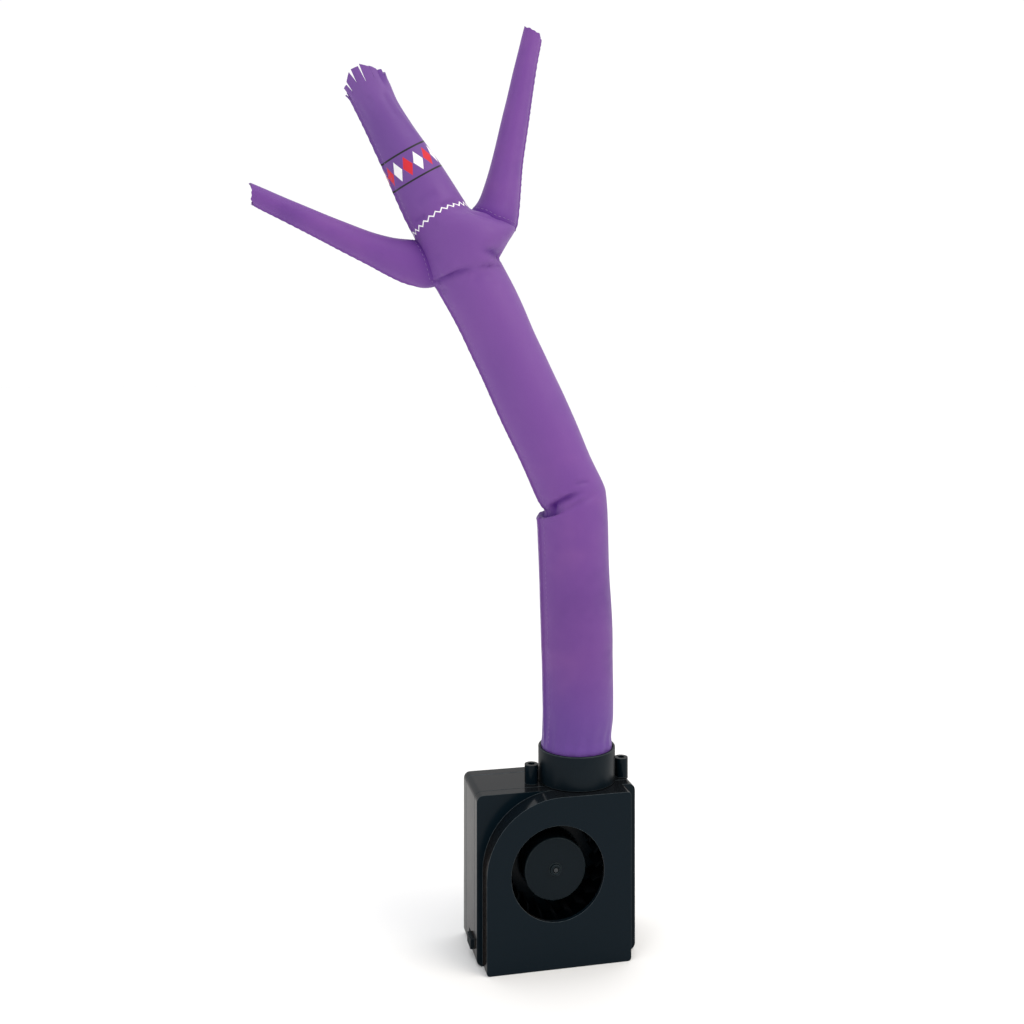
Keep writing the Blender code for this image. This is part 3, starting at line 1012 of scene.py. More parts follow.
    def crease_height(
        self,
        crease: Crease,
        around: np.ndarray,
        up: np.ndarray,
        radius: float,
    ) -> np.ndarray:
        """Height that one crease adds, over the unrolled cloth.

        Args:
            crease: The crease.
            around: Way round the tube of every point, in millimetres.
            up: Station of every point.
            radius: Half the tube's width at the crease.

        Returns:
            One height in millimetres for each point.
        """
        path = np.array([(math.radians(angle) * radius, station) for angle, station in crease.path])
        lengths = np.linalg.norm(np.diff(path, axis=0), axis=1)
        total, done = lengths.sum(), 0.0
        nearest = np.full(around.shape, 1e9)
        side = np.ones(around.shape)
        share = np.zeros(around.shape)
        for start, end, length in zip(path, path[1:], lengths):
            step = (end - start) / length
            t = np.clip((around - start[0]) * step[0] + (up - start[1]) * step[1], 0.0, length)
            gap_x, gap_y = around - start[0] - t * step[0], up - start[1] - t * step[1]
            gap = np.hypot(gap_x, gap_y)
            closer = gap < nearest
            nearest = np.where(closer, gap, nearest)
            side = np.where(closer, np.sign(gap_y + 1e-9), side)
            share = np.where(closer, (done + t) / total, share)
            done += length
        fade = smooth_step(share / max(crease.fade_in, 1e-6))
        fade *= smooth_step((1.0 - share) / max(crease.fade_out, 1e-6))
        if crease.kind is Relief.TUCK:
            above = nearest * side
            profile = smooth_step(above / crease.width) * np.exp(-np.clip(above, 0, None) / crease.reach)
            return -crease.depth * fade * profile
        profile = np.exp(-((nearest / crease.width) ** 2)) * fade * crease.depth
        return profile if crease.kind is Relief.RIDGE else -profile

    def creased(self, stations: np.ndarray, angles: np.ndarray, radius: np.ndarray) -> np.ndarray:
        """Heights of all the creases together, in millimetres.

        Args:
            stations: Stations of the rows.
            angles: Angles of the columns.
            radius: Half the tube's width at each row.

        Returns:
            One height for each point of the grid.
        """
        up = self.levels(stations, angles)
        height = np.zeros(up.shape)
        turned_to = self.seam_angle + (angles - self.seam_angle) % 360.0
        for crease in self.creases:
            size = float(np.interp(np.mean([p[1] for p in crease.path]), stations, radius))
            for shift in (-360.0, 0.0, 360.0):
                around = np.broadcast_to(np.radians(turned_to + shift)[None, :] * size, up.shape)
                height += self.crease_height(crease, around, up, size)
        return height

    def gathers(self, stations: np.ndarray, angles: np.ndarray) -> np.ndarray:
        """Small upright gathers where the collar grips the cloth.

        Args:
            stations: Stations of the rows.
            angles: Angles of the columns.

        Returns:
            One height in millimetres for each point of the grid.
        """
        turn = np.radians(angles)[None, :]
        above = np.clip(stations - self.gather_station, 0.0, None)[:, None]
        fade = np.exp(-((above / self.gather_reach) ** 2))
        wave = np.sin(19 * turn + 1.6 * np.sin(2 * turn) + 0.12 * above)
        wave = wave + 0.6 * np.sin(11 * turn + 0.9 - 0.1 * above)
        return self.gather * fade * wave

    def sections(self, stations: np.ndarray) -> tuple[np.ndarray, np.ndarray]:
        """The rings' numbers and half the tube's width at each station.

        Args:
            stations: Stations of the rows.

        Returns:
            One row of numbers, and one half width in millimetres, for each station.
        """
        rows = monotone_curve(self.knots, self.table, stations)
        return rows, np.linalg.norm(rows[:, 2:4] - rows[:, 0:2], axis=1) / 2

    def painted_shade(self, stations: np.ndarray, angles: np.ndarray) -> np.ndarray:
        """How far each point lies in a crease, as painted shade in the cloth's colour.

        Args:
            stations: Stations of the rows.
            angles: Angles of the columns.

        Returns:
            A share from 0 to 1 for each point of the grid.
        """
        depth = -self.creased(stations, angles, self.sections(stations)[1])
        return np.clip(depth / self.full_crease, 0.0, 1.0) ** self.painted_shade_power

    def relief(self, stations: np.ndarray, angles: np.ndarray) -> np.ndarray:
        """Heights of seam, puckers, creases and slack over the plain tube.

        Args:
            stations: Stations of the rows.
            angles: Angles of the columns.

        Returns:
            One height in millimetres for each point of the grid.
        """
        rows, radius = self.sections(stations)
        turn = (angles - self.seam_angle + 180.0) % 360.0 - 180.0
        beside = np.radians(np.abs(turn))[None, :] * radius[:, None]
        height = self.seam_height * rows[:, 6:7] * np.exp(-((beside / self.seam_width) ** 2))
        ripple = np.sin(2 * np.pi * stations / self.pucker_pitch + 1.7 * np.sin(stations / 5.3))
        height += self.pucker * rows[:, 6:7] * ripple[:, None] * np.exp(-beside / self.pucker_reach)
        height += self.creased(stations, angles, radius) + self.gathers(stations, angles)
        points = self.form(stations, angles)
        for i in range(len(stations)):
            for j in range(len(angles)):
                place = Vector(points[i, j]) / self.slack_size
                height[i, j] += self.slack * noise.noise(place)
        return height

    def surface(self, stations: np.ndarray, angles: np.ndarray) -> np.ndarray:
        """Points of the finished outer surface, in millimetres."""
        points = self.form(stations, angles)
        return points + self.normals(points) * self.relief(stations, angles)[:, :, None]

    def places(self, stations: np.ndarray, angles: np.ndarray) -> np.ndarray:
        """Places on the cloth for its pattern.

        Args:
            stations: Stations of the rows.
            angles: Angles of the columns.

        Returns:
            Share of a turn, station and arc from the seam, for each point of the grid.
        """
        rows, width = self.sections(stations)
        girth = 2 * np.pi * (width + (rows[:, 4] + rows[:, 5]) / 2) / 2
        turn = ((angles - self.seam_angle) % 360.0) / 360.0
        shares = np.broadcast_to(turn[None, :], (len(stations), len(angles)))
        up = np.broadcast_to(stations[:, None] * MM, shares.shape)
        return np.stack([shares, up, shares * girth[:, None] * MM], axis=2)


def grid_faces(rows: int, columns: int, closed: bool) -> list[Face]:
    """Faces of a grid of points.

    Args:
        rows: How many rows of points it has.
        columns: How many points a row has.
        closed: True to join the last column to the first.

    Returns:
        Numbers of each face's points.
    """
    faces = []
    last = columns if closed else columns - 1
    for i in range(rows - 1):
        for j in range(last):
            k = (j + 1) % columns
            faces.append((i * columns + j, (i + 1) * columns + j, (i + 1) * columns + k, i * columns + k))
    return faces


def store_places(made: bpy.types.Object, places: np.ndarray, painted_shade: np.ndarray) -> None:
    """Keep the cloth pattern's places, and its painted shade, on the mesh's points.

    Args:
        made: The sheet.
        places: The pattern's place for each point.
        painted_shade: The painted shade of each point, from 0 to 1.
    """
    attribute = made.data.attributes.new(PLACE, "FLOAT_VECTOR", "POINT")
    attribute.data.foreach_set("vector", places.reshape(-1).astype(np.float32))
    attribute = made.data.attributes.new(PAINTED_SHADE, "FLOAT", "POINT")
    attribute.data.foreach_set("value", painted_shade.reshape(-1).astype(np.float32))


def thicken(made: bpy.types.Object, thickness: float) -> bpy.types.Object:
    """Give an open sheet its thickness inwards, with closed rims.

    Args:
        made: The sheet.
        thickness: Its thickness in metres.

    Returns:
        The same object.
    """
    wall = made.modifiers.new("thickness", "SOLIDIFY")
    wall.thickness = thickness
    wall.offset = -1.0
    wall.use_rim = True
    return settle(made)


BODY_RINGS = (
    Ring((-4.0, 79.3), (29.0, 79.3), 16.5, 16.5, 0),
    Ring((-4.0, 94.0), (29.0, 94.0), 16.5, 16.5, 0),
    Ring((-3.6, 98.0), (28.8, 97.0), 15.9, 15.9, 0.6),
    Ring((-3.5, 110.0), (29.7, 108.0), 16.6, 16.6),
    Ring((-4.2, 143.0), (29.4, 141.3), 16.7, 16.7),
    Ring((-5.4, 180.4), (27.6, 180.2), 16.5, 16.5),
    Ring((-6.0, 194.3), (27.0, 200.0), 16.4, 16.4),
    Ring((-6.3, 199.2), (26.0, 212.6), 16.6, 16.2),
    Ring((-4.0, 202.8), (25.0, 215.6), 15.7, 15.8, 0.3),
    Ring((-5.5, 206.6), (23.8, 218.2), 16.2, 16.0),
    Ring((-10.4, 217.8), (18.0, 229.8), 15.8, 15.8),
    Ring((-19.2, 236.3), (10.0, 248.6), 15.6, 15.6),
    Ring((-28.0, 255.1), (0.8, 267.7), 15.5, 15.5),
    Ring((-36.6, 273.6), (-8.2, 286.4), 15.5, 15.5),
    Ring((-45.8, 292.2), (-17.0, 305.6), 15.8, 15.8),
    Ring((-52.9, 304.4), (-23.9, 318.4), 16.1, 16.0, 0.6),
    Ring((-54.2, 306.6), (-25.0, 320.4), 16.2, 16.0, 0.5),
    Ring((-56.0, 308.2), (-23.8, 322.8), 17.1, 16.6, 0.2),
    Ring((-57.8, 310.0), (-21.2, 327.4), 18.2, 17.4, 0),
    Ring((-61.0, 317.0), (-17.5, 334.2), 19.6, 18.2, 0, 1.5),
    Ring((-62.6, 323.4), (-28.0, 340.0), 18.4, 16.8, 0, 3.5),
    Ring((-63.8, 328.8), (-38.2, 342.8), 14.6, 14.0, 0.2, 4.0),
    Ring((-65.6, 332.2), (-41.0, 346.4), 14.4, 14.0, 0.8, 3.0),
    Ring((-68.6, 338.4), (-45.0, 352.4), 14.0, 13.8, 1.0, 1.0),
    Ring((-74.9, 352.6), (-53.6, 365.1), 12.9, 12.8),
    Ring((-83.0, 370.5), (-65.5, 380.9), 11.2, 11.2),
    Ring((-88.6, 382.0), (-72.4, 391.9), 10.5, 10.5),
    Ring((-92.4, 389.0), (-74.6, 397.0), 9.8, 9.8, 0.8),
)

LEFT_ARM_RINGS = (
    Ring((-137.0, 352.2), (-136.2, 342.5), 4.5, 4.5),
    Ring((-116.3, 343.9), (-120.0, 334.7), 5.0, 5.0),
    Ring((-96.4, 336.1), (-101.0, 325.0), 6.0, 6.0),
    Ring((-79.7, 330.5), (-85.6, 317.1), 7.4, 7.4),
    Ring((-71.5, 328.9), (-76.5, 312.3), 8.4, 8.4),
    Ring((-64.0, 328.4), (-68.4, 308.7), 8.8, 8.8),
    Ring((-56.9, 327.1), (-59.4, 306.4), 8.4, 8.4, 0),
    Ring((-49.0, 324.1), (-51.0, 308.0), 7.6, 7.6, 0),
)

RIGHT_ARM_RINGS = (
    Ring((-12.8, 428.3), (-4.7, 423.1), 4.3, 4.3),
    Ring((-17.1, 410.9), (-7.5, 409.5), 4.9, 4.9),
    Ring((-20.7, 395.9), (-9.9, 394.0), 5.5, 5.5),
    Ring((-24.4, 381.1), (-12.1, 378.8), 6.3, 6.3),
    Ring((-28.0, 366.0), (-14.2, 364.1), 7.0, 7.0),
    Ring((-31.3, 354.8), (-15.2, 352.5), 8.3, 8.2),
    Ring((-34.3, 347.0), (-15.9, 343.4), 9.6, 9.2),
    Ring((-38.0, 342.4), (-17.0, 335.6), 11.2, 10.4),
    Ring((-42.0, 338.5), (-20.7, 328.8), 11.8, 11.0, 0),
)

FOLD_TILT = (
    (0.0, 0.0), (30.0, 1.5), (60.0, 3.6), (82.0, 4.4), (111.0, 4.2), (134.0, 3.1), (158.0, 1.4),
    (174.0, 0.0), (190.0, 0.0), (222.0, 2.0), (255.0, 4.0), (300.0, 2.0), (360.0, 0.0),
)

FOLD_CREASES = (
    Crease(((232, 127.9), (200, 127.9), (176, 127.9), (158, 128.0), (134, 128.2), (116, 128.8)),
           3.4, 0.8, Relief.TUCK, 2.4, 0.12, 0.3),
    Crease(((205, 126.8), (176, 126.8), (158, 126.9), (134, 127.1), (114, 127.6)), 0.45, 0.9, Relief.RIDGE),
    Crease(((152, 130.4), (134, 132.7), (117, 133.8), (100, 134.1), (78, 133.8)),
           1.9, 1.2, Relief.TROUGH, 8.0, 0.15, 0.45),
    Crease(((130, 129.6), (112, 131.0), (94, 131.5), (76, 131.1)), 0.6, 1.0, Relief.RIDGE),
    Crease(((150, 134.6), (128, 136.4), (104, 137.8)), 0.45, 2.0, Relief.RIDGE),
    Crease(((94, 138.6), (78, 138.0), (60, 136.4)), 0.65, 0.9),
    Crease(((262, 130.0), (238, 128.6), (214, 128.2)), 1.0, 2.0),
)

WAIST_CREASES = (
    Crease(((166, 247.4), (149, 248.3), (131, 248.4), (118, 248.3), (101, 247.4), (78, 245.2)),
           1.8, 1.35, Relief.TROUGH, 8.0, 0.1, 0.45),
    Crease(((132, 245.8), (112, 245.9), (90, 244.2)), 0.45, 1.5, Relief.RIDGE),
    Crease(((20, 245.6), (50, 248.6), (76, 252.7), (92, 256.8)), 1.8, 1.3, Relief.TROUGH, 8.0, 0.12, 0.5),
    Crease(((28, 245.0), (60, 246.6), (90, 249.6)), 1.2, 1.2, Relief.RIDGE, 8.0, 0.15, 0.5),
    Crease(((30, 243.4), (56, 244.6), (80, 246.6), (94, 248.4)), 0.9, 1.1, Relief.TROUGH, 8.0, 0.15, 0.5),
    Crease(((110, 252.6), (126, 252.8), (144, 251.2)), 0.6, 1.8, Relief.RIDGE),
    Crease(((60, 241.0), (84, 242.6), (104, 241.4)), 0.4, 2.2),
    Crease(((159, 250.4), (150, 251.8), (138, 252.6)), 0.7, 1.1),
    Crease(((172, 245.0), (158, 243.4), (142, 243.8)), 0.6, 1.1),
    Crease(((196, 247.0), (230, 248.8), (268, 247.6), (300, 246.4)), 1.6, 2.1),
    Crease(((330, 247.6), (306, 251.0), (286, 254.4)), 0.9, 1.9),
    Crease(((36, 262.0), (50, 266.4), (58, 271.0)), 0.7, 2.4),
    Crease(((150, 262.0), (140, 258.4), (132, 256.6)), 0.5, 2.2),
    Crease(((118, 271.6), (92, 271.8), (66, 270.0)), 0.5, 1.6, Relief.RIDGE),
    Crease(((152, 280.2), (136, 279.4), (116, 278.4)), 0.9, 1.3),
    Crease(((94, 278.0), (70, 277.8), (46, 277.0)), 0.9, 1.2),
    Crease(((250, 273.0), (280, 274.6), (310, 273.4)), 0.9, 1.8),
)

HEAD_CREASES = (
    Crease(((56, 338.0), (53, 328.5), (42, 319.0), (36, 306.0)), 0.45, 1.4, Relief.RIDGE, 8.0, 0.05, 0.5),
    Crease(((68, 338.0), (64, 328.0), (52, 318.0)), 0.4, 1.6, Relief.TROUGH, 8.0, 0.05, 0.5),
    Crease(((150, 339.0), (146, 332.0), (140, 326.0)), 0.35, 1.5, Relief.TROUGH, 8.0, 0.05, 0.6),
    Crease(((112, 339.0), (110, 333.0)), 0.3, 1.3, Relief.TROUGH, 8.0, 0.05, 0.8),
    Crease(((130, 285.0), (104, 287.6), (76, 286.0)), 0.45, 2.6),
    Crease(((250, 300.0), (262, 285.0)), 0.4, 2.6),
)


@dataclass(frozen=True)
class Stitching:
    """Lines of small raised stitches along the seams."""

    pitch: float = 2.3 * MM
    length: float = 0.72 * MM
    width: float = 0.15 * MM
    height: float = 0.12 * MM

    def build(self, lines: list[np.ndarray], finish: bpy.types.Material) -> bpy.types.Object:
        """Lay stitches along lines.

        Args:
            lines: Open lines of points in metres.
            finish: The thread's material.

        Returns:
            The stitches as one mesh.
        """
        points, edges = [], []
        for line in lines:
            start = len(points)
            points.extend(tuple(point) for point in line)
            edges.extend((start + i, start + i + 1) for i in range(len(line) - 1))
        carrier = link_mesh("seam_stitches", points, [], edges)
        tree = GeometryTree("stitching")
        tree.size("Pitch", self.pitch)
        tree.size("Stitch Length", self.length)
        tree.size("Stitch Width", self.width)
        tree.size("Stitch Height", self.height)
        tree.size("Material", finish, "NodeSocketMaterial")
        curve = tree.node("GeometryNodeMeshToCurve", {"Mesh": tree.given("Geometry")})
        steps = {"Curve": curve.outputs["Curve"], "Length": tree.given("Pitch")}
        spots = tree.node("GeometryNodeCurveToPoints", steps, mode="LENGTH")
        stitch = tree.node("GeometryNodeMeshUVSphere", {"Segments": 8, "Rings": 5, "Radius": 1.0})
        size = tree.node("ShaderNodeCombineXYZ", {
            "X": tree.given("Stitch Height"),
            "Y": tree.given("Stitch Width"),
            "Z": tree.given("Stitch Length"),
        })
        placed = tree.node("GeometryNodeInstanceOnPoints", {
            "Points": spots.outputs["Points"],
            "Instance": stitch.outputs["Mesh"],
            "Rotation": spots.outputs["Rotation"],
            "Scale": size.outputs["Vector"],
        })
        tree.finish(placed.outputs["Instances"])
        made = tree.run(carrier)
        made.data.shade_smooth()
        return made


@dataclass(frozen=True)
class HairStrip:
    """A strip of the fringe between two cuts.

    The angles are counted from the right edge over the front, lengths are in millimetres from
    the ring at the crown, the lean is from upright to the left, and the spread is outwards.
    """

    start: float
    end: float
    cut_start: float
    cut_end: float
    length: float
    lean: float
    spread: float
    taper: float = 0.92
    slant: float = 0.0
    # Painted shade on the strip, where it lies behind its neighbours or at the back.
    dark: float = 0.0


# A strip's last share, where set, is the painted shade on it.
HAIR = (
    HairStrip(-8, 30, 2.6, 3.6, 7.2, 19, 4, 1.0, dark=0.3),
    HairStrip(30, 52, 3.6, 4.4, 8.8, 26, -3, 0.98, dark=0.5),
    HairStrip(52, 72, 4.4, 5.6, 10.4, 26, 3, 1.04, 0.8, 0.10),
    HairStrip(72, 96, 5.6, 5.7, 12.4, 22, 1, 0.98, 0.88),
    HairStrip(96, 120, 5.7, 6.6, 13.0, 27, 3, 0.88),
    HairStrip(120, 144, 6.6, 3.2, 10.7, 37, 6, 0.84, -1.2),
    HairStrip(144, 166, 3.2, 0.3, 7.8, 40, 8, 0.74, -0.3),
    HairStrip(166, 196, 0.2, 0.2, 4.8, 46, 6, 0.45, 0.4, 0.2),
    HairStrip(196, 236, 0.4, 3.0, 6.0, 28, 2, dark=0.2),
    HairStrip(236, 268, 3.0, 4.0, 8.0, 28, 2, dark=0.2),
    HairStrip(268, 300, 4.0, 4.0, 8.2, 27, 3, dark=0.2),
    HairStrip(300, 330, 4.0, 3.6, 7.8, 25, 3, dark=0.2),
    HairStrip(330, 352, 3.6, 2.6, 6.6, 22, 5, dark=0.2),
)


def read_round(values: np.ndarray, known: np.ndarray, wanted: np.ndarray) -> np.ndarray:
    """Read points or directions between those of a ring.

    Args:
        values: One row of three numbers for each known angle.
        known: The rising angles of the rows, in degrees.
        wanted: Angles to read them at.

    Returns:
        One row for each wanted angle.
    """
    return np.stack([np.interp(wanted % 360.0, known, values[:, k], period=360.0) for k in range(3)], 1)


@dataclass
class HairFringe:
    """The crown's edge cut into strips that stand up and lean apart."""

    columns: int = 9
    rows: int = 16
    settle_length: float = 4.0
    lean: float = 28.0
    spread: float = 2.0
    freeing: float = 1.6
    gap: float = 0.035
    arc: float = 0.17
    # How fast a strip's painted shade grows from its root.
    darkening: float = 2.2
    weld: float = 0.02 * MM

    def strip(
        self,
        strip: HairStrip,
        crown: np.ndarray,
        angles: np.ndarray,
        rise: np.ndarray,
    ) -> np.ndarray:
        """Points of one strip as a grid, in millimetres.

        Args:
            strip: The strip's sizes.
            crown: The points of the ring at the crown.
            angles: Their angles.
            rise: The cloth's direction at each of them.

        Returns:
            The grid, one row for each height.
        """
        share = np.linspace(0.0, 1.0, self.columns)
        at = strip.start + (strip.end - strip.start) * share
        order = np.argsort(angles % 360.0)
        known = angles[order] % 360.0
        root, start = read_round(crown[order], known, at), read_round(rise[order], known, at)
        cut = strip.cut_start + (strip.cut_end - strip.cut_start) * share
        length = strip.length * (1.0 + strip.slant * (share - 0.5) * 0.25)
        common = self.direction(at, self.lean, self.spread)
        own = self.direction(at, strip.lean, strip.spread)
        across = root[-1] - root[0]
        grid = np.zeros((self.rows, self.columns, 3))
        grid[0] = root
        heading = start / np.linalg.norm(start, axis=1, keepdims=True)
        for i in range(1, self.rows):
            t = i / (self.rows - 1)
            height = length * t
            step = length / (self.rows - 1)
            free = smooth_step((height - cut) / np.maximum(length - cut, 0.1) * self.freeing)[:, None]
            calm = smooth_step(height / self.settle_length)[:, None]
            heading = start * (1 - calm) + common * calm * (1 - free) + own * calm * free
            heading /= np.linalg.norm(heading, axis=1, keepdims=True)
            grid[i] = grid[i - 1] + heading * step[:, None]
        for i in range(self.rows):
            height = length * i / (self.rows - 1)
            narrow = np.clip((height - cut) / np.maximum(length - cut, 0.1), 0.0, 1.0)
            shift = (share - 0.5) * (1.0 - strip.taper) * narrow
            shift = shift + self.gap * (share - 0.5) * (narrow > 0)
            grid[i] -= across[None, :] * shift[:, None]
        return grid

    def direction(self, angles: np.ndarray, lean: float, spread: float) -> np.ndarray:
        """Unit directions that lean to the left and spread outwards.

        Args:
            angles: Angles round the crown, in degrees.
            lean: Angle to the left of upright.
            spread: Angle outwards.

        Returns:
            One direction for each angle.
        """
        side, out = math.radians(lean), math.radians(spread)
        turn = np.radians(angles)
        vectors = np.stack([
            -np.sin(side) + 0.0 * turn,
            -np.sin(turn) * math.sin(out),
            np.cos(side) + 0.0 * turn,
        ], axis=1)
        return vectors / np.linalg.norm(vectors, axis=1, keepdims=True)

    def build(
        self,
        crown: np.ndarray,
        below: np.ndarray,
        angles: np.ndarray,
        station: float,
    ) -> bpy.types.Object:
        """Make the fringe on the crown's ring.

        Args:
            crown: The points of the ring at the crown, in millimetres.
            below: The ring under it.
            angles: Their angles.
            station: The crown's station up the tube.

        Returns:
            The open sheet.
        """
        rise = crown - below
        rise /= np.linalg.norm(rise, axis=1, keepdims=True)
        vertices, faces, places, painted_shade = [], [], [], []
        for strip in HAIR:
            grid = self.strip(strip, crown, angles, rise)
            start = len(vertices)
            vertices.extend(grid.reshape(-1, 3))
            for face in grid_faces(self.rows, self.columns, closed=False):
                faces.append(tuple(start + index for index in face))
            share = np.linspace(strip.start, strip.end, self.columns) * self.arc
            for i in range(self.rows):
                up = strip.length * i / (self.rows - 1)
                places.extend((0.0, (station + up) * MM, value * MM) for value in share)
                # Painted shade that grows from the root along each strip.
                darkness = strip.dark * min(1.0, self.darkening * i / self.rows)
                painted_shade.extend(darkness for _ in share)
        made = link_mesh("hair_strips", np.array(vertices) * MM, faces)
        store_places(made, np.array(places), np.array(painted_shade))
        clean_mesh(made.data, self.weld)
        return made


def in_hollow(tube: ClothTube) -> np.ndarray:
    """How far each column of a sleeve lies in the hollow beside the chest, from 0 to 1, for its painted
    shade.
    """
    turn = np.radians(tube.angles()[:-1])
    return np.clip(0.52 - 0.24 * np.cos(turn) + 0.25 * np.sin(turn), 0.0, 1.0)


def points_inwards(made: bpy.types.Object, points: np.ndarray) -> bool:
    """Tell which way an open tube's faces point, by about 400 of them.

    Args:
        made: The tube, in metres.
        points: The grid of points that it was made from, in millimetres.

    Returns:
        True if most faces point at its middle line.
    """
    columns = points.shape[1]
    votes = 0.0
    for face in list(made.data.polygons)[:: max(1, len(made.data.polygons) // 400)]:
        row = face.vertices[0] // columns
        outward = Vector(points[row].mean(axis=0) * MM)
        votes += (face.center - outward).dot(face.normal)
    return votes < 0


@dataclass
class FigureCloth:
    """The sewn figure: a tube for body and head, two sleeves, hair strips and stitches."""

    thickness: float = 0.32
    sunk: float = 0.12
    hole_share: float = 0.9
    hole_depth: float = 9.0
    # Painted shade in the hollows where the sleeves meet the chest: its strength, reach and the body's
    # share.
    hollow: float = 0.9
    hollow_reach: float = 3.0
    body_hollow: float = 0.42
    sleeve_hollow_reach: float = 6.0
    crease_angle: float = 75.0
    stitched_seam: float = 0.45
    shortest_line: int = 3
    body_cut: Pair = (0.120, 0.342)
    body_area: float = 0.0330
    left_cut: Pair = (0.068, 0.086)
    left_area: float = 0.0036
    right_cut: Pair = (0.070, 0.098)
    right_area: float = 0.0038
    hair_cut: Pair = (0.062, 0.0125)
    hair_area: float = 0.00052
    finish: WovenCloth = WovenCloth("purple cloth")
    # The printed tube takes painted shade towards its foot.
    printed: WovenCloth = WovenCloth("purple cloth with print", foot_painted_shade=0.86, foot_share=0.85)
    thread: SewingThread = SewingThread("sewing thread")
    body: ClothTube = field(init=False)
    left: ClothTube = field(init=False)
    right: ClothTube = field(init=False)

    def __post_init__(self) -> None:
        """Set out the three tubes."""
        self.body = ClothTube(
            "body_and_head", BODY_RINGS, 170.0, 104, 1.35,
            FOLD_CREASES + WAIST_CREASES + HEAD_CREASES, tilt=FOLD_TILT, close_rows=2.0, gather=0.16,
            pucker_pitch=4.1,
        )
        self.left = self.sleeve("left_sleeve", LEFT_ARM_RINGS)
        self.right = self.sleeve("right_sleeve", RIGHT_ARM_RINGS)

    def sleeve(self, name: str, rings: tuple[Ring, ...]) -> ClothTube:
        """A sleeve's tube, alike on both sides but for its rings."""
        return ClothTube(name, rings, 12.0, 56, 0.95, seam_height=0.7, slack=0.16, ragged=0.35)

    def body_cloth(self) -> tuple[np.ndarray, np.ndarray, np.ndarray]:
        """Stations, angles and points of the body's cloth."""
        stations, angles = self.body.stations(), self.body.angles()[:-1]
        return stations, angles, self.body.surface(stations, angles)

    def sleeve_cloth(self, tube: ClothTube, wall: BVHTree) -> tuple[np.ndarray, np.ndarray]:
        """Points of a sleeve from its tip to the body's wall, and their pattern places.

        Args:
            tube: The sleeve.
            wall: The body's outer surface in millimetres.

        Returns:
            The grid of points and the grid of pattern places.
        """
        stations, angles = tube.stations(), tube.angles()[:-1]
        points = tube.surface(stations, angles)
        places = tube.places(stations, angles)
        shares = stations / tube.length
        for j in range(len(angles)):
            column, spots = points[:, j].copy(), places[:, j].copy()
            steps = np.linalg.norm(np.diff(column, axis=0), axis=1)
            travelled = np.concatenate([[0.0], np.cumsum(steps)])
            end = travelled[-1]
            for i in range(len(column) // 3, len(column) - 1):
                ray = Vector(column[i + 1] - column[i])
                hit = wall.ray_cast(Vector(column[i]), ray.normalized(), ray.length)
                if hit[0] is not None:
                    end = travelled[i] + hit[3] + self.sunk
                    break
            wanted = shares * end
            for axis in range(3):
                points[:, j, axis] = np.interp(wanted, travelled, column[:, axis])
                places[:, j, axis] = np.interp(wanted, travelled, spots[:, axis])
        return points, places

    def armhole_faces(self, faces: list[Face], points: np.ndarray, root: np.ndarray) -> list[Face]:
        """Leave out the body's faces that lie inside a sleeve's root.

        Args:
            faces: The body's faces.
            points: The body's points as one list, in millimetres.
            root: The sleeve's last ring.

        Returns:
            The faces that stay.
        """
        middle = root.mean(axis=0)
        _, _, axes = np.linalg.svd(root - middle)
        outline = (root - middle) @ axes[:2].T * self.hole_share
        centres = points[np.array(faces)].mean(axis=1) - middle
        flat, height = centres @ axes[:2].T, centres @ axes[2]
        inside = np.zeros(len(flat), bool)
        for (x1, y1), (x2, y2) in zip(outline, np.roll(outline, -1, axis=0)):
            crosses = (y1 > flat[:, 1]) != (y2 > flat[:, 1])
            where = x1 + (flat[:, 1] - y1) * (x2 - x1) / (y2 - y1 + 1e-12)
            inside ^= crosses & (flat[:, 0] < where)
        near = np.abs(height) < self.hole_depth
        return [face for face, out in zip(faces, inside & near) if not out]

    def sleeve_painted_shade(self, tube: ClothTube, points: np.ndarray) -> np.ndarray:
        """Painted shade on a sleeve towards the hollow where it meets the chest.

        Args:
            tube: The sleeve.
            points: Its points in millimetres.

        Returns:
            A share from 0 to 1 for each point.
        """
        near = np.linalg.norm(points - points[-1][None], axis=2)
        return self.hollow * np.exp(-near / self.sleeve_hollow_reach) * in_hollow(tube)[None, :]

    def armhole_painted_shade(self, points: np.ndarray, armhole: np.ndarray) -> np.ndarray:
        """Painted shade on the body round an armhole.

        Args:
            points: The body's points as one list, in millimetres.
            armhole: The sleeve's last ring.

        Returns:
            A share from 0 to 1 for each point.
        """
        gap = np.linalg.norm(points[:, None, :] - armhole[None, ::3, :], axis=2).min(axis=1)
        return self.body_hollow * self.hollow * np.exp(-gap / self.hollow_reach)

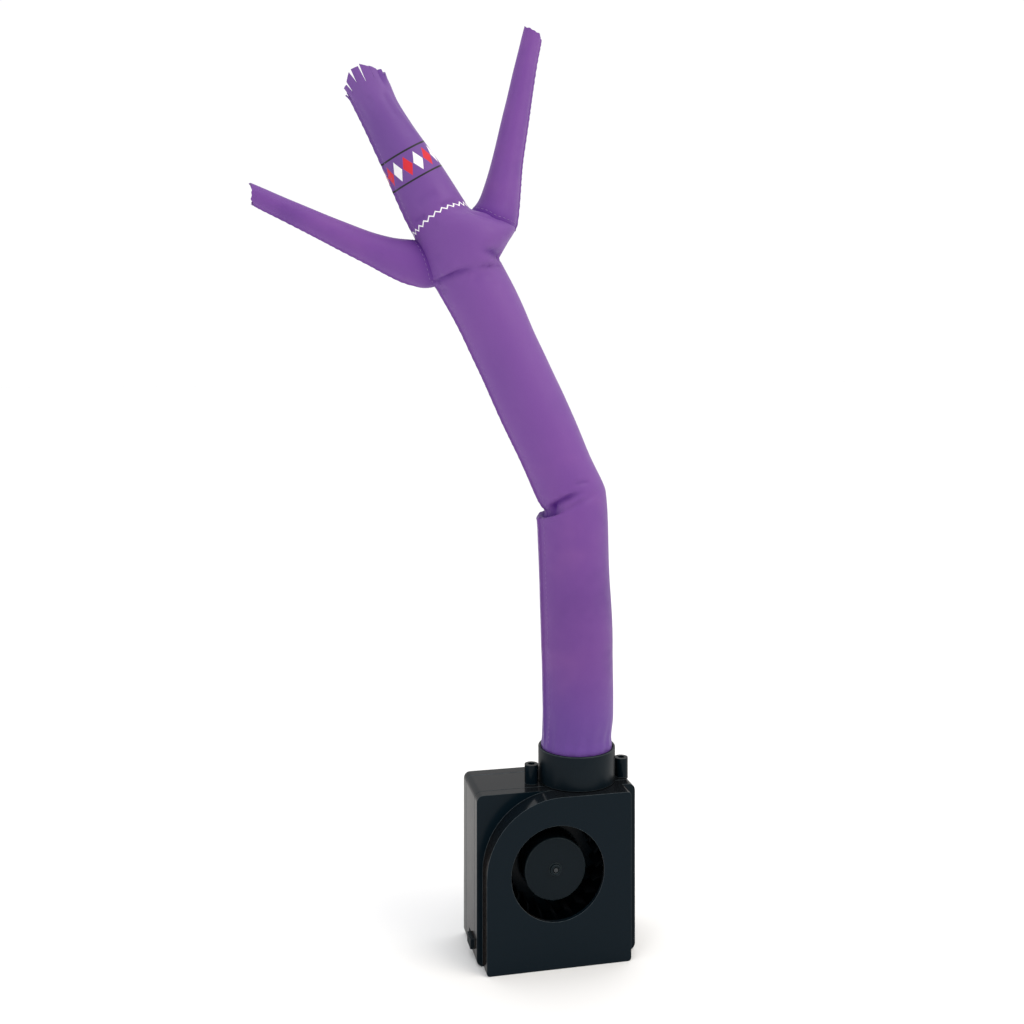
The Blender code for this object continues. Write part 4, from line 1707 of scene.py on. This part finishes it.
    def build(self) -> None:
        """Make the cloth pieces and put them on the base."""
        stations, angles, points = self.body_cloth()
        rows, columns = points.shape[:2]
        flat = points.reshape(-1, 3)
        faces = grid_faces(rows, columns, closed=True)
        wall = BVHTree.FromPolygons([Vector(p) for p in flat], faces)
        cloth = self.finish.build()
        lines = self.seam_lines(self.body, stations, points, -6)
        # Painted shade in the creases, then round each armhole.
        painted_shade_values = self.body.painted_shade(stations, angles).reshape(-1)
        sleeve_cuts = (
            (self.left, "left_arm", self.left_cut, self.left_area),
            (self.right, "right_arm", self.right_cut, self.right_area),
        )
        for tube, node, cut, area in sleeve_cuts:
            sleeve_points, sleeve_places = self.sleeve_cloth(tube, wall)
            faces = self.armhole_faces(faces, flat, sleeve_points[-1])
            dark = self.sleeve_painted_shade(tube, sleeve_points)
            sleeve = self.add_sheet(tube.name, sleeve_points, sleeve_places, dark, None, cloth, node)
            painted_shade_values = np.maximum(painted_shade_values, self.armhole_painted_shade(flat, sleeve_points[-1]))
            lines += self.seam_lines(tube, tube.stations()[:-4], sleeve_points[:-4], -7)
            hole = sleeve_points[-3]
            lines.append(np.concatenate([hole, hole[:1]]) * MM)
        printed = self.printed.build((PrintedZigzag(), PrintedDiamonds()))
        places = self.body.places(stations, angles)
        body = self.add_sheet(self.body.name, points, places, painted_shade_values, faces, printed, "dancer_tube")
        stitches = Stitching().build(lines, self.thread.build())
        hand_over(stitches, Body.BASE, Slot.CLOTH)
        hair = HairFringe().build(points[-1], points[-3], angles, self.body.length)
        thicken(hair, self.thickness * MM)
        shade(hair, cloth, self.crease_angle)
        hand_over(hair, Body.BASE, Slot.CLOTH, "hair_fringe")

    def seam_lines(
        self,
        tube: ClothTube,
        stations: np.ndarray,
        points: np.ndarray,
        column: int,
    ) -> list[np.ndarray]:
        """Lines of stitches beside a seam, wherever the seam stands up.

        Args:
            tube: The tube that carries the seam.
            stations: Stations of its rows.
            points: Its points in millimetres.
            column: The column beside the seam.

        Returns:
            Lines of points in metres.
        """
        weight = monotone_curve(tube.knots, tube.table, stations)[:, 6]
        lines, line = [], []
        for i, shown in enumerate(weight > self.stitched_seam):
            if shown:
                line.append(points[i, column] * MM)
            elif len(line) > self.shortest_line:
                lines.append(np.array(line))
                line = []
        if len(line) > self.shortest_line:
            lines.append(np.array(line))
        return lines

    def add_sheet(
        self,
        name: str,
        points: np.ndarray,
        places: np.ndarray,
        painted_shade: np.ndarray,
        faces: list[Face] | None,
        finish: bpy.types.Material,
        node: str,
    ) -> bpy.types.Object:
        """Turn a grid of points into a thin sheet on the base.

        Args:
            name: The piece's name.
            points: Grid of points in millimetres.
            places: The pattern's places for the same grid.
            painted_shade: The painted shade on the cloth, for the same grid.
            faces: Its faces, or None for the whole closed grid.
            finish: Its material.
            node: The frame node that it stands for.

        Returns:
            The piece.
        """
        rows, columns = points.shape[:2]
        if faces is None:
            faces = grid_faces(rows, columns, closed=True)
        made = link_mesh(name, points.reshape(-1, 3) * MM, faces)
        store_places(made, places, painted_shade)
        if points_inwards(made, points):
            made.data.flip_normals()
        thicken(made, self.thickness * MM)
        shade(made, finish, self.crease_angle)
        hand_over(made, Body.BASE, Slot.CLOTH, node)
        around = float(np.linalg.norm(np.diff(points[rows // 2], axis=0), axis=1).sum()) * MM
        along = float(np.linalg.norm(np.diff(points[:, 0], axis=0), axis=1).sum()) * MM
        LOG.info("%s measures %.3f m round its middle and %.3f m long", name, around, along)
        return made


@dataclass(frozen=True)
class SoftBox:
    """A soft studio light."""

    name: str
    place: Point
    aim: Point
    size: float
    power: float
    colour: Colour = (1.0, 1.0, 1.0)


@dataclass
class Studio:
    """Pale floor, soft lights and surround, and the camera at the photograph's angle."""

    floor_width: float = 16.0
    floor_colour: Colour = (0.89, 0.89, 0.89)
    floor_darker: float = 0.985
    floor_patches: float = 3.0
    surround: float = 1.02
    surround_behind: float = 0.40
    viewer: Point = (-0.2, -0.95, -0.1)
    ceiling: float = 0.8
    ceiling_spread: float = 60.0
    ceiling_tilt: Pair = (12.0, 10.0)
    camera_place: Point = (-0.1409, -0.5506, 0.2805)
    camera_heading: float = -12.53
    focal_pixels: float = 1216.74
    image_pixels: float = 1024.0
    horizon_pixel: float = 345.0
    sensor: float = 36.0
    lights: tuple[SoftBox, ...] = (
        SoftBox("key", (0.75, -0.75, 0.95), (-0.02, 0.0, 0.22), 0.8, 6.2, (1.0, 0.90, 0.76)),
        SoftBox("fill", (-0.7, -0.8, 0.75), (-0.02, 0.0, 0.10), 0.35, 2.0, (0.95, 0.97, 1.0)),
    )

    def build_floor(self) -> None:
        """A wide level floor."""
        half = self.floor_width / 2
        points = [(-half, -half, 0.0), (half, -half, 0.0), (half, half, 0.0), (-half, half, 0.0)]
        floor = link_mesh("floor", points, [(0, 1, 2, 3)])
        pen = NodePen("pale floor")
        tone = pen.noise(pen.object_place(), self.floor_patches)
        darker = tuple(self.floor_darker * value for value in self.floor_colour)
        pen.give("Base Color", pen.mix(tone, darker, self.floor_colour))
        pen.give("Roughness", 0.7)
        shade(floor, pen.material)

    def build_lights(self) -> None:
        """Area lights and a pale surround."""
        for box in self.lights:
            data = bpy.data.lights.new(box.name, "AREA")
            data.shape = "SQUARE"
            data.size = box.size
            data.energy = box.power
            data.color = box.colour
            lamp = link_object(box.name, data)
            lamp.location = box.place
            aim = Vector(box.aim) - Vector(box.place)
            lamp.rotation_euler = aim.to_track_quat("-Z", "Y").to_euler()
        sun = bpy.data.lights.new("ceiling", "SUN")
        sun.energy = self.ceiling
        sun.angle = math.radians(self.ceiling_spread)
        sideways, forwards = self.ceiling_tilt
        lamp = link_object("ceiling", sun)
        lamp.rotation_euler = (math.radians(sideways), math.radians(forwards), 0.0)
        bpy.context.scene.world = self.build_surround()
        bpy.context.scene.view_settings.view_transform = "Standard"

    def build_surround(self) -> bpy.types.World:
        """A pale surround that is dimmer where the viewer stands.

        Returns:
            The world.
        """
        world = bpy.data.worlds.new("surround")
        world.use_nodes = True
        pen = NodeWriter(world.node_tree)
        heading = pen.node("ShaderNodeTexCoord").outputs["Generated"]
        towards = pen.node("ShaderNodeVectorMath", {0: heading, 1: self.viewer}, operation="DOT_PRODUCT")
        limits = {
            "Value": towards.outputs["Value"],
            "From Min": 0.0,
            "From Max": 0.95,
            "To Min": self.surround,
            "To Max": self.surround_behind,
        }
        level = pen.node("ShaderNodeMapRange", limits, interpolation_type="SMOOTHSTEP")
        background = world.node_tree.nodes["Background"]
        pen.join((1.0, 1.0, 1.0, 1.0), background.inputs["Color"])
        pen.join(level.outputs["Result"], background.inputs["Strength"])
        return world

    def build_camera(self) -> None:
        """The camera at the photograph's place and angle."""
        data = bpy.data.cameras.new("camera")
        data.sensor_width = self.sensor
        data.lens = self.focal_pixels / self.image_pixels * self.sensor
        data.shift_y = -(self.image_pixels / 2 - self.horizon_pixel) / self.image_pixels
        data.clip_start = 0.02
        data.clip_end = 50.0
        camera = link_object("camera", data)
        camera.location = self.camera_place
        camera.rotation_euler = (math.pi / 2, 0.0, math.radians(self.camera_heading))
        bpy.context.scene.camera = camera

    def build(self) -> None:
        """Set up the whole studio."""
        self.build_floor()
        self.build_lights()
        self.build_camera()


# In each plastic below, the edge colour is a painted highlight and the low-angle colour a painted
# reflection.
CASE_PLASTIC = MouldedPlastic(
    "gloss black plastic",
    colour=(0.0026, 0.0074, 0.0118),
    edge_highlight=(0.090, 0.108, 0.118),
    roughness=0.16,
    unevenness=0.03,
    skin_size=0.9 * MM,
    skin_height=0.006 * MM,
    shine=0.08,
    painted_grazing_reflection=(0.0095, 0.0075, 0.0065),
)
COLLAR_PLASTIC = MouldedPlastic(
    "satin black plastic",
    colour=(0.0034, 0.0078, 0.0116),
    edge_highlight=(0.050, 0.062, 0.070),
    roughness=0.36,
    unevenness=0.05,
    skin_size=0.6 * MM,
    skin_height=0.008 * MM,
    shine=0.10,
)
FAN_PLASTIC = MouldedPlastic(
    "fan plastic",
    colour=(0.0028, 0.0068, 0.0100),
    edge_highlight=(0.022, 0.030, 0.034),
    roughness=0.32,
    unevenness=0.05,
    skin_size=0.5 * MM,
    skin_height=0.008 * MM,
    shine=0.09,
)
# A darker, duller copy of the fan plastic: painted shade on the blades deep in the intake.
SHADED_BLADE_PLASTIC = MouldedPlastic(
    "blade plastic",
    colour=(0.0014, 0.0020, 0.0028),
    edge_highlight=(0.004, 0.005, 0.006),
    roughness=0.50,
    unevenness=0.05,
    skin_size=0.5 * MM,
    skin_height=0.008 * MM,
    shine=0.03,
)


@dataclass(frozen=True)
class FanBlades:
    """Curved blades in a ring round the fan's hub."""

    count: int = 20
    middle: float = 21.8 * MM
    half_length: float = 2.75 * MM
    thickness: float = 0.9 * MM
    angle: float = 32.0
    bow: float = 0.45 * MM
    front: float = -14.7 * MM
    back: float = -2.4 * MM
    steps: int = 6
    crease_angle: float = 40.0

    def build(self, centre: Point, finish: bpy.types.Material) -> bpy.types.Object:
        """Make one blade and set its copies round the axis.

        Args:
            centre: A point on the fan's axis.
            finish: The blades' material.

        Returns:
            The blades as one mesh.
        """
        turn = math.radians(self.angle)
        along, across = Vector((math.cos(turn), math.sin(turn))), Vector((-math.sin(turn), math.cos(turn)))
        sides = []
        for side in (1, -1):
            row = []
            for step in range(self.steps + 1):
                t = 2.0 * step / self.steps - 1.0
                bowed = self.bow * (1.0 - t * t) + side * self.thickness / 2 * (1.0 - 0.5 * abs(t) ** 3)
                row.append(Vector((self.middle, 0.0)) + along * t * self.half_length + across * bowed)
            sides.append(row)
        outline = sides[0] + sides[1][::-1]
        count = len(outline)
        vertices = [(p.x, y, p.y) for y in (self.front, self.back) for p in outline]
        faces = [(i, (i + 1) % count, count + (i + 1) % count, count + i) for i in range(count)]
        faces += [tuple(range(count)), tuple(range(2 * count - 1, count - 1, -1))]
        blade = link_mesh("fan_blades", vertices, faces)
        clean_mesh(blade.data, POINT_GAP, outwards=True)
        tree = GeometryTree("blade ring")
        tree.size("Count", self.count, "NodeSocketInt")
        tree.size("Axis", (centre[0], 0.0, centre[2]), "NodeSocketVector")
        tree.size("Material", finish, "NodeSocketMaterial")
        spots = tree.node("GeometryNodePoints", {"Count": tree.given("Count")})
        index = tree.node("GeometryNodeInputIndex").outputs[0]
        share = tree.node("ShaderNodeMath", {0: index, 1: tree.given("Count")}, operation="DIVIDE")
        full_turn = {0: share.outputs[0], 1: 2 * math.pi}
        turned_by = tree.node("ShaderNodeMath", full_turn, operation="MULTIPLY")
        rotation = tree.node("ShaderNodeCombineXYZ", {"Y": turned_by.outputs[0]})
        placed = tree.node("GeometryNodeInstanceOnPoints", {
            "Points": spots.outputs[0],
            "Instance": tree.given("Geometry"),
            "Rotation": rotation.outputs["Vector"],
        })
        shift = {"Geometry": placed.outputs["Instances"], "Translation": tree.given("Axis")}
        moved = tree.node("GeometryNodeTransform", shift)
        tree.finish(moved.outputs["Geometry"])
        made = tree.run(blade)
        made.data.set_sharp_from_angle(angle=math.radians(self.crease_angle))
        return made


@dataclass
class BlowerBase:
    """The blower: three case shells, collar, motor, fan wheel and slide switch."""

    edge: float = 0.35 * MM
    edge_steps: int = 3
    edge_angle: float = 30.0
    flat_angle: float = 0.6
    shell_gap: float = 2e-6
    front_edge_share: float = 0.75
    middle_edge_share: float = 0.7
    knob_edge: float = 0.15 * MM
    ring_edge: float = 0.4 * MM
    wheel_edge: float = 0.9 * MM
    wheel_edge_steps: int = 5
    crease_angle: float = 50.0
    front_y: float = -21.4 * MM
    fan_axis: Point = (-2.0 * MM, 0.0, 42.8 * MM)
    collar_axis: Point = (12.5 * MM, 0.0, 0.0)
    collar_foot: float = 77.3 * MM
    collar_floor: float = 78.8 * MM
    collar_top: float = 93.0 * MM
    collar_outer: float = 18.0 * MM
    collar_inner: float = 16.8 * MM
    spigot_outer: float = 15.0 * MM
    spigot_inner: float = 13.6 * MM
    spigot_top: float = 91.0 * MM
    shaft_bore: float = 1.3 * MM
    boss: float = 2.6 * MM
    boss_front: float = 3.6 * MM
    boss_back: float = 10.0 * MM
    hub: float = 14.25 * MM
    hub_front: float = 5.1 * MM
    hub_wall: float = 1.6 * MM
    wheel: float = 25.0 * MM
    wheel_front: float = 18.5 * MM
    wheel_back: float = 20.0 * MM

    def build_collar(self, finish: bpy.types.Material) -> None:
        """The double ring that holds the cloth's foot.

        Args:
            finish: Its material.
        """
        corners = [
            (self.spigot_inner, self.collar_foot),
            (self.collar_outer, self.collar_foot),
            (self.collar_outer, self.collar_top),
            (self.collar_inner, self.collar_top),
            (self.collar_inner, self.collar_floor),
            (self.spigot_outer, self.collar_floor),
            (self.spigot_outer, self.spigot_top),
            (self.spigot_inner, self.spigot_top),
        ]
        made = turned("tube_collar", rounded_outline(corners, self.ring_edge), self.collar_axis, False)
        shade(made, finish, self.crease_angle)
        hand_over(made, Body.BASE, Slot.CASE, "collar")

    def build_wheel(self, finish: bpy.types.Material) -> None:
        """The fan's hub and back plate, and its ring of blades.

        Args:
            finish: The material of the hub and the plate.
        """
        inner = self.hub - self.hub_wall
        depths = [
            (self.shaft_bore, self.boss_front),
            (self.boss, self.boss_front),
            (self.boss, self.hub_front),
            (self.hub, self.hub_front),
            (self.hub, self.wheel_front),
            (self.wheel, self.wheel_front),
            (self.wheel, self.wheel_back),
            (inner, self.wheel_back),
            (inner, self.hub_front + self.hub_wall),
            (self.boss, self.hub_front + self.hub_wall),
            (self.boss, self.boss_back),
            (self.shaft_bore, self.boss_back),
        ]
        corners = [(radius, self.front_y + depth) for radius, depth in depths]
        outline = rounded_outline(corners, self.wheel_edge, self.wheel_edge_steps)
        made = turned("fan_hub", outline, self.fan_axis, True)
        shade(made, finish, self.crease_angle)
        hand_over(made, Body.FAN, Slot.FAN, "impeller")
        # The blades take the darker copy of the fan plastic, as painted shade.
        blades = FanBlades().build(self.fan_axis, SHADED_BLADE_PLASTIC.build())
        hand_over(blades, Body.FAN, Slot.FAN, "impeller")

    def soften(
        self,
        node: str,
        name: str,
        width: float,
        finish: bpy.types.Material,
        body: Body,
        slot: Slot,
    ) -> None:
        """Add a copy of a frame node with its edges rounded.

        Args:
            node: The frame node.
            name: The new piece's name.
            width: The width of the rounding.
            finish: Its material.
            body: The body it rides on.
            slot: The record's finish.
        """
        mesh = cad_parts[node].data.copy()
        mesh.name = name
        clean_mesh(mesh, self.shell_gap, flat_angle=math.radians(self.flat_angle))
        made = link_object(name, mesh)
        rounding = made.modifiers.new("rounding", "BEVEL")
        rounding.width = width
        rounding.segments = self.edge_steps
        rounding.limit_method = "ANGLE"
        rounding.angle_limit = math.radians(self.edge_angle)
        rounding.miter_outer = "MITER_ARC"
        rounding.material = 1
        made.data.shade_smooth()
        evened = made.modifiers.new("evened", "WEIGHTED_NORMAL")
        evened.weight = 80
        made.data.materials.clear()
        made.data.materials.append(finish)
        made.data.materials.append(finish)
        settle(made)
        # The bevel faces take the painted edge highlight and the gloss dulled by rubbing.
        mark_highlight_and_wear_edges(made, [face.material_index == 1 for face in made.data.polygons])
        made.data.polygons.foreach_set("material_index", [0] * len(made.data.polygons))
        made.data.materials.pop(index=1)
        hand_over(made, body, slot, node)

    def build(self) -> None:
        """Dress every part of the base."""
        case = CASE_PLASTIC.build()
        satin = COLLAR_PLASTIC.build()
        fan = FAN_PLASTIC.build()
        front, middle = self.edge * self.front_edge_share, self.edge * self.middle_edge_share
        self.soften("fan_cover", "front_shell", front, case, Body.BASE, Slot.CASE)
        self.soften("fan_case", "middle_shell", middle, case, Body.BASE, Slot.CASE)
        self.soften("battery_cover", "back_shell", self.edge, case, Body.BASE, Slot.CASE)
        self.build_collar(satin)
        self.build_wheel(fan)
        self.soften("switch_knob", "slide_knob", self.knob_edge, satin, Body.SWITCH, Slot.CASE)
        low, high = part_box("motor")
        steel = TurnedSteel("motor steel").build(tuple((low + high) / 2))
        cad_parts["motor"].data.materials.clear()
        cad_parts["motor"].data.materials.append(steel)


def main() -> None:
    """Build the studio and every piece in order."""
    logging.basicConfig(level=logging.INFO, format="%(name)s: %(message)s")
    Studio().build()
    BlowerBase().build()
    FigureCloth().build()


if __name__ == "__main__":
    main()
